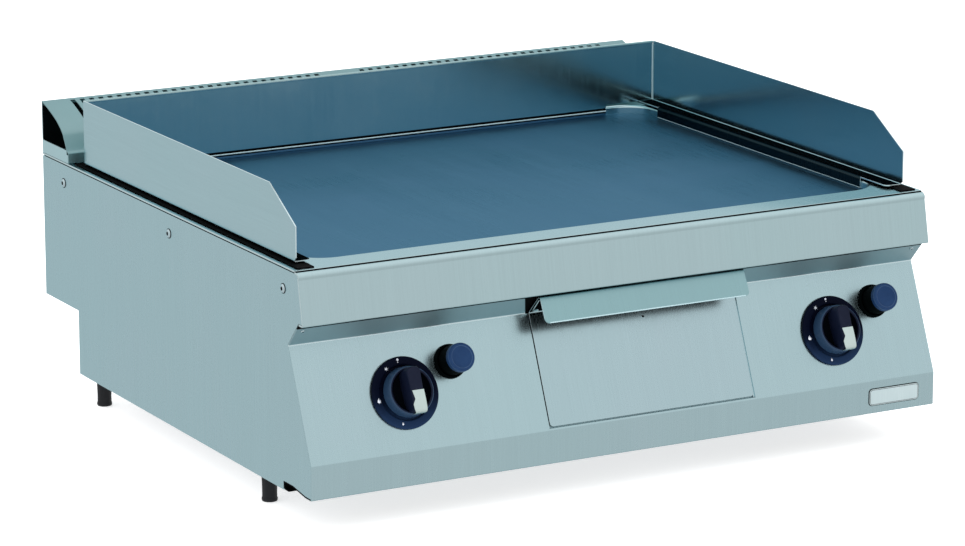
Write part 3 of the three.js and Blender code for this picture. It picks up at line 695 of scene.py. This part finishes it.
def drawer():
    t = 1.2
    up = (28.2, -63.2)
    vee = (VEE_Y - 0.1, VEE_Z - 0.2)
    bottom = (1.8, -203.9)
    flap_bottom = (14.0, -90.5)
    # the continuous sheet: flap, top fold, the run down into the recess, the inner fold and the sloping face
    line = fillet([flap_bottom, up, vee, bottom], [0, 1.6, 1.8, 0], 6)
    mid = line[1:-1]
    fold = len(mid) // 2              # the first points are the top fold, the rest the inner fold
    v, f, m = strip(mid, [DX0, DX1], mat=lambda i, j: 1 if i < fold - 1 else (2 if i == fold - 1 else 0))
    parts = [(v, f, m)]

    def face(a, b, r, far):
        """The flat end of the sheet from line point a to its free edge b, with its far corners rounded."""
        a, b = Vector(a), Vector(b)
        d = (b - a)
        ln = d.length
        d.normalize()
        outline = [(DX0, 0.0), (DX1, 0.0)]
        for cx, a0 in ((DX1 - r, 0), (DX0 + r, 90)):
            for k in range(7):
                q = math.radians(a0 + 90 * k / 6)
                outline.append((cx + r * math.cos(q), ln - r + r * math.sin(q)))
        vs = [(x, a.x + d.x * s, a.y + d.y * s) for x, s in outline]
        return vs, [tuple(range(len(vs)))], [0]

    vs, fs, _ = face(mid[0], flap_bottom, 6.0, True)
    parts.append((vs, fs, [1]))
    parts.append(face(mid[-1], bottom, 4.0, True))
    v, f, m = joined(*parts)
    piece("drawer_front_sheet", v, f, ["drawer", "shade", "shade", "shade", "flap", "shade", "rim", "rim", "rim"], "grease_drawer", "drawer_front",
          m, solid=t, hint=(0, -0.3, 0.3), bevel=0.25, seg=1, rim=6, inner=3)
    # end gussets of the handle, in polished steel made paler than the sheet as a painted highlight
    for side, x in (("left", DX0 + 0.1), ("right", DX1 - 1.3)):
        out = [(49.0, -85.2), (31.0, -67.2), (28.8, -67.0), (42.4, -81.2), (31.0, -77.2), (30.4, -79.6)]
        n = len(out)
        vs = [(x, y, z) for y, z in out] + [(x + 1.2, y, z) for y, z in out]
        fs = [tuple(range(n)), tuple(range(2 * n - 1, n - 1, -1))] + [(i, (i + 1) % n, n + (i + 1) % n, n + i) for i in range(n)]
        piece("handle_gusset_" + side, vs, fs, "polished", "grease_drawer", bevel=0.25, seg=2)
    # hem along the handle's lower edge, in the pale edge colour: a painted highlight
    a, b = Vector(flap_bottom), Vector(up)
    d = (b - a).normalized()
    nn = Vector((-d.y, d.x))
    hem = [a + d * 0.1 + nn * 1.1, a + d * 0.1 + nn * 1.65, a + d * 1.2 + nn * 1.65, a + d * 1.35 + nn * 1.1]
    vs = [(x, q.x, q.y) for x in (DX0 + 5.5, DX1 - 5.5) for q in hem]
    fs = [(0, 1, 2, 3), (7, 6, 5, 4)] + [(i, (i + 1) % 4, 4 + (i + 1) % 4, 4 + i) for i in range(4)]
    piece("handle_hem", vs, fs, "edge", "grease_drawer", bevel=0.12, seg=2)
    # small fixing hole under the handle, with its eyelet; the hole is a flat black disc, painted shade
    mat = on_panel(34.9, 110.5)
    v, f, _ = lathe([(0, 0.30), (1.3, 0.30), (1.4, 0.42), (1.5, 0.5), (1.75, 0.4), (1.8, 0.1), (1.8, -0.4), (0, -0.4)], 20)
    piece("drawer_eyelet", v, f, ["flat_black", "screw"], "grease_drawer",
          idx=[0 if i // 20 < 2 else 1 for i in range(len(f))], matrix=mat)


drawer()


# ------------------------------------------------------------------ flue
def flue():
    pts = [(705.2, 62.7), (697, 60.4), (689.9, 58.2), (675, 52.5), (660.3, 45.7), (647.1, 36.2), (641.2, 27.9), (633.9, 16.4), (630.4, 13.4), (629.8, 11.6), (629.8, 1.4)]

    def spline(ps, n=5):
        out = []
        for i in range(len(ps) - 1):
            a, b = ps[max(i - 1, 0)], ps[i]
            c, d = ps[i + 1], ps[min(i + 2, len(ps) - 1)]
            for k in range(n):
                t = k / n
                out.append(tuple(0.5 * (2 * b[j] + (c[j] - a[j]) * t + (2 * a[j] - 5 * b[j] + 4 * c[j] - d[j]) * t * t
                                        + (3 * b[j] - a[j] - 3 * c[j] + d[j]) * t ** 3) for j in (0, 1)))
        out.append(ps[-1])
        return out

    curve = spline(pts[:9], 4) + fillet([pts[8], (629.8, 12.4), pts[10]], [0, 0.8, 0], 3)[1:]
    # stations where the slots begin and end along the curve
    def split(line, y):
        out = [line[0]]
        for a, b in zip(line, line[1:]):
            if (a[0] - y) * (b[0] - y) < -1e-9:
                t = (y - a[0]) / (b[0] - a[0])
                out.append((y, a[1] + (b[1] - a[1]) * t))
            out.append(b)
        return out
    for y in (700.5, 699.0, 650.5, 649.0):
        curve = split(curve, y)
    xs, slots = [-HALF_W], []
    for a, b in ((-366, -26), (20, 366)):
        x = a
        while x + 6 <= b:
            slots.append((x, x + 6))
            x += 12
    for a, b in slots:
        xs += [a, b]
    xs.append(HALF_W)
    starts = {round(a, 3) for a, _ in slots}

    def skip(i, j):
        ym = (curve[i][0] + curve[i + 1][0]) / 2
        return round(xs[j], 3) in starts and 649.0 < ym < 700.5

    v, f, m = strip(curve, xs, skip)
    piece("flue_hood_sheet", v, f, "flue", "casing", "flue_hood", m, solid=1.4, hint=(0, -0.5, 1), bevel=0.2, seg=1, limit=60)


flue()
dress("flue_base_frame", "flue_box", 0.35, 2)
dress("flue_back_plate", "rear", 0.3, 2)
dress("flue_duct", "inner", 0.2, 1)
# a dark sheet just before the back plate: painted shade inside the flue
back_y = (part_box("flue_back_plate")[0].y - Y0) * 1000 - 0.8
v, f, m = strip([(back_y, 2.2), (back_y, 57.0)], [-HALF_W + 0.6, HALF_W - 0.6])
piece("flue_painted_shade_liner", v, f, "shade", "casing", solid=0.5, hint=(0, -1, 0))
dress("rear_panel", "rear", 0.3, 2)
dress("rear_recess_panel", "rear", 0.3, 2)
dress("base_pan", "inner", 0.2, 1)


# ------------------------------------------------------------------ splash guard
def guards():
    y0, y1, yb = 54.4, 609.1, 117.2
    r = 2.2
    for side, k in SIDES:
        gx, lx = GUARD_X, GUARD_X - 19.5      # outer plane of the wall, outer plane of the lip
        bend = [(gx - r + r * math.cos(a), 2.5 + r - r * math.sin(a)) for a in [math.pi / 2 * i / 5 for i in range(6)]]
        ys = [y0 + 4.0, y0 + 8.0, 112.0, 565.0, y1]
        wall = [(y0 + 4.0, 2.5 + r), (y0 + 8.0, 2.5 + r), (112, 2.5 + r), (565, 2.5 + r), (y1, 2.5 + r), (y1, GUARD_TOP), (yb, GUARD_TOP), (y0, 42.7), (y0, 2.5 + r + 4), (y0 + 1.2, 2.5 + r + 1.2)]
        parts = [([(k * gx, y, z) for y, z in wall], [tuple(range(len(wall)))], [0])]
        vb = [(k * x, y, z) for y in ys for x, z in bend]
        n = len(bend)
        fb = [(j * n + i, j * n + i + 1, (j + 1) * n + i + 1, (j + 1) * n + i) for j in range(len(ys) - 1) for i in range(n - 1)]
        parts.append((vb, fb, [0] * len(fb)))
        xi = gx - r
        lip_in = GUARD_X - 21.0
        corner = [(lip_in + 7 - 7 * math.sin(a), y0 + 4 + 7 - 7 * math.cos(a)) for a in [math.pi / 2 * i / 6 for i in range(7)]]
        flange = [(xi, y0 + 4.0), *corner, (lip_in, 112.0), (lx + r, 112.0), (lx + r, 565.0), (lip_in, 565.0), (lip_in, y1), (xi, y1), (xi, 565), (xi, 112), (xi, y0 + 8.0)]
        # the flange and the lip take the near-black guard-foot steel, painted shade; the lip's lowest face takes the
        # pale edge colour, a painted highlight
        parts.append(([(k * x, y, 2.5) for x, y in flange], [tuple(range(len(flange)))], [1]))
        lip = [(lx + r - r * math.sin(a), 2.5 - r + r * math.cos(a)) for a in [math.pi / 2 * i / 5 for i in range(6)]] + [(lx, -8.4), (lx, -9.3)]
        vl = [(k * x, y, z) for y in (112.0, 565.0) for x, z in lip]
        n = len(lip)
        fl = [(i, i + 1, n + i + 1, n + i) for i in range(n - 1)]
        parts.append((vl, fl, [1] * (len(fl) - 1) + [4]))
        v, f, m = joined(*parts)
        piece("splash_guard_sheet_" + side, v, f, ["guard_side", "guard_foot", "rim", "rim", "edge", "edge", "edge"], "splash_guard", "splash_guard_" + side, m,
              solid=1.5, hint=(k, 0, 0), bevel=0.3, seg=2, limit=50, rim=2)
        # flat black strip between the guard's foot and the worktop: a painted shadow of the gap under the guard
        sx0, sx1 = (-394.6, -375) if k < 0 else (375, 394.6)
        shadow_profile = fillet([(38.2, 0.02), (38.6, 1.25), (625.5, 1.25), (626, 0.02)], [0, 0.5, 0.5, 0], 3)
        v, f, m = strip(shadow_profile, [sx0, sx1])
        piece("guard_shadow_strip_" + side, v, f, "flat_black", "casing", solid=0.6, hint=(0, 0, 1), bevel=0.15, seg=1)
    # rear wall: hemmed top, a groove painted flat black as painted shade, a bead in the pale edge colour as a painted
    # highlight, and a rolled foot that dips into the well
    front = [(609.5, -0.9), (610.8, -1.1), (610.8, -3.5)]
    bead = [(609.6 + 0.8 * math.cos(math.radians(a)), -4.5 + 0.8 * math.sin(math.radians(a))) for a in range(90, 271, 20)]
    ln = [(611.0, GUARD_TOP - 0.4), (610.6, GUARD_TOP), (609.2, GUARD_TOP), (608.8, GUARD_TOP - 0.4), (608.8, GUARD_TOP - 3.2), (609.5, GUARD_TOP - 3.6), (609.5, 3.4)]
    xs = [-GUARD_X + 1.6, -320, 320, GUARD_X - 1.6]
    v1, f1, m1 = strip(ln, xs)
    low = [(609.5, 3.4)] + front + bead + [(609.9, -5.5), (609.9, -7.0), (609.9, -9.6), (611.0, -9.6), (611.0, 3.4)]
    nb = 4 + len(bead)
    v2, f2, m2 = strip(low, [-320, 320], mat=lambda i, j: 1 if i in (1, 2, 3) or nb - 1 <= i <= nb else (2 if 4 <= i < nb else (3 if i == nb + 1 else 0)))
    back = [(611.0, 3.4), (611.0, GUARD_TOP - 0.4)]
    v3, f3, m3 = strip(back, xs)
    foot = [(609.5, 3.4), (611.0, 3.4)]
    v4, f4, m4 = strip(foot, xs[:2])
    v5, f5, m5 = strip(foot, xs[2:])
    ends = []
    for x in (xs[0], xs[-1]):
        o = ln + [(611.0, 3.4)]
        ends.append(([(x, y, z) for y, z in o], [tuple(range(len(o)))], [0]))
    for x in (-320, 320):
        ends.append(([(x, y, z) for y, z in low], [tuple(range(len(low)))], [0]))
    v, f, m = joined((v1, f1, m1), (v2, f2, m2), (v3, f3, m3), (v4, f4, m4), (v5, f5, m5), *ends)
    piece("splash_guard_sheet_rear", v, f, ["guard_rear", "flat_black", "edge", "griddle"], "splash_guard", "splash_guard_rear", m, bevel=0.12, seg=1, limit=50)
    # corner seams: the side walls' rear returns, rolled, in the pale edge colour as a painted highlight
    for side, k in SIDES:
        prof = [(GUARD_X - 1.6, 608.2), (GUARD_X - 2.1, 608.2), (GUARD_X - 2.9, 608.9), (GUARD_X - 2.9, 609.4)]
        out = prof + [(GUARD_X - 1.6, 609.4)]
        n = len(out)
        vs = [(k * x, y, 4.2) for x, y in out] + [(k * x, y, GUARD_TOP - 3.8) for x, y in out]
        fs = [tuple(range(n)), tuple(range(2 * n - 1, n - 1, -1))] + [(i, (i + 1) % n, n + (i + 1) % n, n + i) for i in range(n)]
        piece("guard_corner_seam_" + side, vs, fs, "edge", "splash_guard", bevel=0.15, seg=1)


guards()


# ------------------------------------------------------------------ controls
def controls():
    for side, k in SIDES:
        pm = on_panel(k * KNOB_X, KNOB_S)
        ring = [(30.0, 0.35), (39.2, 0.35), (39.9, 0.9), (40.0, 2.6), (39.6, 3.6), (38.6, 4.2), (37.4, 4.4), (32.2, 4.4), (31.0, 4.1), (30.2, 3.2), (30.0, 2.2), (30.0, 0.35)]
        v, f, m = lathe(ring, 96)
        piece("knob_bezel_ring_" + side, v, f, "bezel", "casing", "knob_bezel_" + side, matrix=pm)
        disc_line = [(8.6, 0.3), (30.6, 0.3), (30.6, 1.1), (29.4, 1.25), (24.0, 1.25), (23.2, 0.95), (11.2, 0.95), (10.0, 1.15), (8.6, 1.1), (8.6, 0.3)]
        v, f, m = lathe(disc_line, 72)
        piece("knob_bezel_web_" + side, v, f, "bezel", "casing", matrix=pm)
        marks = []

        def poly(pts):
            marks.append(prism(pts, 4.38, 4.55))

        def disc(cx, cy, r, n=14):
            poly([(cx + r * math.cos(2 * math.pi * i / n), cy + r * math.sin(2 * math.pi * i / n)) for i in range(n)])

        # stop dot with its tick, spark star, large flame and small flame as on any gas tap
        disc(-2.7, 36.4, 1.35)
        poly([(-3.2, 33.0), (-2.4, 33.0), (-2.4, 34.4), (-3.2, 34.4)])
        cx, cy = -18.0, 28.0
        star = []
        for i in range(12):
            rr = 2.7 if i % 2 == 0 else 1.0
            a = 2 * math.pi * i / 12 + 0.3
            star.append((cx + rr * math.cos(a), cy + rr * math.sin(a)))
        poly(star)
        cx, cy = -33.4, -4.9
        poly([(cx, cy + 3.0), (cx - 1.1, cy + 1.3), (cx - 2.1, cy - 0.3), (cx - 1.8, cy - 1.8), (cx - 0.6, cy - 2.6), (cx + 0.8, cy - 2.5),
              (cx + 2.0, cy - 1.4), (cx + 1.9, cy + 0.2), (cx + 1.1, cy + 1.2), (cx + 0.6, cy + 0.4)])
        cx, cy = -10.2, -33.2
        poly([(cx, cy + 2.0), (cx - 0.9, cy + 0.4), (cx - 1.0, cy - 0.9), (cx, cy - 1.7), (cx + 1.0, cy - 0.9), (cx + 0.9, cy + 0.4)])
        v, f, m = joined(*marks)
        piece("bezel_marks_" + side, v, f, "mark", "casing", matrix=pm, weighted=False)

        # knob: deep collar with a hollow crown, and a tall grip bar across it
        body = "knob_" + side
        cup = [(0, 5.3), (26.4, 5.3), (27.4, 5.7), (27.9, 6.6), (27.5, 11), (26.9, 17.6), (26.3, 19.3), (25.2, 20.1), (24.0, 20.0),
               (23.1, 19.2), (22.4, 17.0), (21.0, 13.2), (17.5, 11.2), (9, 10.6), (0, 10.5)]
        v, f, m = lathe(cup, 96)
        # the rows inside the crown take the hollow black, painted shade
        ids = [1 if i // 96 < 7 else (0 if i // 96 < 9 else 2) for i in range(len(f))]
        piece("knob_collar_" + side, v, f, ["knob", "knob_wall", "hollow"], body, "control_knob_" + side, ids, matrix=pm)
        bar = []
        for t in range(0, 13):
            a = math.pi * t / 12
            bar.append((-7.0 * math.cos(a) if False else 7.3 * math.cos(math.pi + a), -20.6 - 5.0 * math.sin(a) ** 0.8))
        top = []
        for t in range(0, 13):
            a = math.pi * t / 12
            top.append((8.4 * math.cos(a), 19.4 + 5.4 * math.sin(a) ** 0.8))
        outline = bar + top
        rows = []
        for off, h in ((0.0, 9.0), (0.0, 26.5), (0.25, 30.6), (0.8, 32.3), (1.7, 33.0)):
            cxm, cym = 0.0, 0.0
            row = []
            for x, y in outline:
                sx = (abs(x) - off) / max(abs(x), 1e-6) if abs(x) > 1e-6 else 1.0
                sy = (abs(y) - off) / abs(y)
                row.append((x * max(sx, 0), y * sy, h))
            rows.append(row)
        v, f, m = bridge(rows)
        n = len(outline)
        f += [tuple(range(n - 1, -1, -1)), tuple(range(len(v) - n, len(v)))]
        ob = piece("knob_grip_" + side, v, f, "knob", body, matrix=pm, bevel=0.25, seg=2, limit=40)
        # bright insert: runs along the lower half of the bar and turns over its end
        line = [(-1.5, 33.15), (-11.0, 33.15), (-16.5, 33.15), (-22.6, 33.15), (-24.9, 32.7), (-26.2, 31.2), (-26.6, 28.6), (-26.6, 22.4)]
        rowsv, rowsf = [], []
        wid = [(-6.6, 7.6), (-4.6, 8.0), (-7.8, 8.0), (-7.4, 7.8), (-6.6, 7.4), (-6.2, 7.0), (-5.8, 6.6), (-5.4, 6.2)]   # narrowed to a notch on one side
        for (yy, hh), w in zip(line, wid):
            rowsv += [(w[0] + (w[1] - w[0]) * q, yy, hh + up) for q, up in ((0, 0), (0.2, 0.12), (0.5, 0.16), (0.8, 0.12), (1, 0))]
        for a in range(len(line) - 1):
            for b in range(4):
                rowsf.append((a * 5 + b, (a + 1) * 5 + b, (a + 1) * 5 + b + 1, a * 5 + b + 1))
        piece("knob_insert_plate_" + side, rowsv, rowsf, "insert", body, "knob_insert_" + side, matrix=pm,
              solid=0.7, hint=tuple(pm.to_3x3() @ Vector((0, -0.3, 1))), bevel=0.2, seg=2)

        bmx = on_panel(k * KNOB_X + BUTTON_DX, BUTTON_S)
        v, f, m = lathe([(13.2, 0.3), (18.8, 0.3), (19.2, 0.8), (19.1, 2.4), (18.5, 4.4), (17.9, 5.0), (17.1, 4.9), (16.9, 4.3), (16.9, 1.2), (13.2, 1.2), (13.2, 0.3)], 64)
        piece("igniter_ring_" + side, v, f, "collar", "casing", "igniter_collar_" + side, matrix=bmx)
        cap = [(13.4, 6.1), (16.2, 6.1), (16.3, 6.8), (16.1, 24), (15.95, 28.3), (15.6, 29.8), (14.9, 30.6), (13.9, 30.95), (12.7, 30.8),
               (12.0, 30.3), (11.2, 29.9), (6, 29.75), (0, 29.7)]
        v, f, _ = lathe(cap, 64)
        # two rows on the cap's edge take the paler rim colour, a painted highlight
        ids = [0 if i // 64 < 3 else (2 if i // 64 in (4, 8) else 1) for i in range(len(f))]
        under = lathe([(0, 27.2), (13.4, 27.2), (13.4, 6.1)], 64)
        v, f, m = joined((v, f, ids), under)
        piece("igniter_cap_" + side, v, f, ["collar", "cap", "cap_rim"], "button_" + side, "igniter_button_" + side, m, matrix=bmx)
        repaint("piezo_igniter_" + side, "collar")
        repaint("valve_stem_" + side, "stem")


controls()


def label():
    o = P(345, 0, -226.5)
    mat = Matrix(((1, 0, 0, o.x), (0, 0, -1, o.y), (0, 1, 0, o.z), (0, 0, 0, 1)))
    rows = [[(x, y, h) for x, y in rrect(-33.5 + k, 33.5 - k, -9.5 + k, 9.5 - k, 4 - k, 7)] for k, h in ((-0.8, 0.05), (-0.8, 0.35), (0, 0.4), (0, 0.95), (0.15, 1.15), (0.4, 1.2), (0.75, 1.2), (0.8, 1.12), (1.25, 1.12), (1.3, 1.2))]
    v, f, m = bridge(rows)
    n = len(rows[0])
    f += [tuple(range(n - 1, -1, -1)), tuple(range(len(v) - n, len(v)))]
    # rows 0 to 2, a flat black surround, are a painted shadow; rows 7 and 8 are the printed border line
    ids = [1 if (i // n) in (0, 1, 2, 7, 8) else 0 for i in range(len(f) - 2)] + [0, 0]
    piece("rating_plate_blank", v, f, ["label", "flat_black"], "casing", "rating_plate", ids, matrix=mat, weighted=True)


label()


def feet():
    for side, k in SIDES:
        for where, y in (("front", 151), ("rear", 595)):
            o = P(k * 376, y, 0)
            mat = Matrix.Translation(o)
            prof = [(0, -288), (7.2, -288), (8.4, -287.6), (9.0, -286.4), (9.0, -284.4), (8.4, -283.6), (8.3, -276), (8.5, -268), (8.9, -258),
                    (9.4, -251.6), (9.3, -249.6), (8.6, -249.2), (5, -249.2), (5, -224.4), (4.4, -224), (0, -224)]
            v, f, m = lathe(prof, 40, fold=lambda a, r, h: r * (1 + (0.02 * math.cos(10 * a) if -283 < h < -252 else 0)))
            piece(f"leg_{side}_{where}_moulding", v, f, "foot", f"leg_{side}_{where}", f"foot_{side}_{where}", matrix=mat)


feet()

# ------------------------------------------------------------------ what is behind and below
for node, mat in {"combustion_box": "inner", "burner_rail_front": "inner", "burner_rail_rear": "inner", "drawer_tray": "inner",
                  "drawer_runner_left": "inner", "drawer_runner_right": "inner", "grease_chute": "inner"}.items():
    dress(node, mat, 0.2, 1)
for side, _ in SIDES:
    repaint("burner_" + side, "burner")
    repaint("gas_valve_" + side, "brass")
    repaint("gas_feed_" + side, "brass")
    repaint("thermocouple_" + side, "brass")
    repaint("spark_electrode_" + side, "ceramic")
repaint("gas_manifold", "inner")
repaint("gas_inlet_pipe", "brass")


# ------------------------------------------------------------------ floor, lights and camera
def floor():
    v = [(-14, -14, 0), (14, -14, 0), (14, 14, 0), (-14, 14, 0)]
    me = bpy.data.meshes.new("studio_floor")
    me.from_pydata([Vector(p) + Vector((0, 0, -0.0003)) for p in v], [], [(0, 1, 2, 3)])
    m, n, b = new_material("studio_floor_paper")
    cl = n.noise(n.coords((1.3, 1.3, 1.3)), 1.0, 3.0, 0.5)
    fb = n.noise(n.coords((420, 420, 420)), 1.0, 2.0, 0.5)
    n.put(b, Base_Color=n.mix(n.range(cl, 0.3, 0.7, 0.0, 1.0), (0.90, 0.905, 0.91), (0.93, 0.93, 0.93)),
          Roughness=n.range(cl, 0.3, 0.7, 0.75, 0.85), Normal=n.bump(fb, 0.05, 0.0002), Specular_IOR_Level=0.05)
    b.inputs["Emission Color"].default_value = (1.0, 1.0, 1.0, 1.0)      # a light table: the paper is lit from below as well
    b.inputs["Emission Strength"].default_value = 0.62
    me.materials.append(m)
    o = bpy.data.objects.new("studio_floor", me)
    scene.collection.objects.link(o)
    o.visible_glossy = False


floor()


def studio_world():
    w = bpy.data.worlds.new("studio")
    scene.world = w
    w.use_nodes = True
    n = Nodes(w.node_tree)
    out = n.add("ShaderNodeOutputWorld")
    bg = n.add("ShaderNodeBackground")
    w.node_tree.links.new(bg.outputs[0], out.inputs[0])
    tc = n.add("ShaderNodeTexCoord")
    d = tc.outputs["Generated"]
    sep = n.add("ShaderNodeSeparateXYZ")
    w.node_tree.links.new(d, sep.inputs[0])
    # a plain soft studio: one neutral grey gradient all round, a little brighter towards the ceiling
    sky = n.ramp(n.range(sep.outputs[2], -1.0, 1.0, 0.0, 1.0),
                 [(0.0, (0.60, 0.60, 0.60)), (0.5, (0.72, 0.72, 0.72)), (1.0, (1.0, 1.0, 1.0))], "LINEAR")
    lp = n.add("ShaderNodeLightPath")
    col = n.mix(lp.outputs["Is Glossy Ray"], (1.25, 1.25, 1.25), sky)
    w.node_tree.links.new(col, bg.inputs[0])
    bg.inputs[1].default_value = 1.0
    w.cycles.sampling_method = "NONE"


studio_world()


def area(name, loc, target, size, energy, color=(1, 1, 1)):
    l = bpy.data.lights.new(name, "AREA")
    l.shape = "RECTANGLE"
    l.size, l.size_y = size
    l.energy = energy
    l.color = color
    o = bpy.data.objects.new(name, l)
    scene.collection.objects.link(o)
    o.location = loc
    o.rotation_euler = (Vector(target) - Vector(loc)).to_track_quat("-Z", "Y").to_euler()
    o.visible_glossy = False
    return o


area("key_overhead", (0.5, -0.9, 3.2), (0, 0, 0.2), (2.8, 2.4), 14, (1.0, 0.99, 0.97))
area("fill_left", (-2.6, -1.2, 1.6), (0, 0, 0.2), (1.8, 1.6), 7, (0.92, 0.96, 1.0))

cam = bpy.data.cameras.new("camera")
cam.sensor_width = 36.0
cam.sensor_fit = "HORIZONTAL"
cam.lens = 4325.13 / 965 * 36.0
cam.clip_start, cam.clip_end = 0.05, 100
camera = bpy.data.objects.new("camera", cam)
scene.collection.objects.link(camera)
camera.location = (-2.371093, -4.296632, 1.384376)
camera.rotation_euler = (math.pi / 2 - 0.2424761378, 0.0, -0.5039647394)
scene.camera = camera
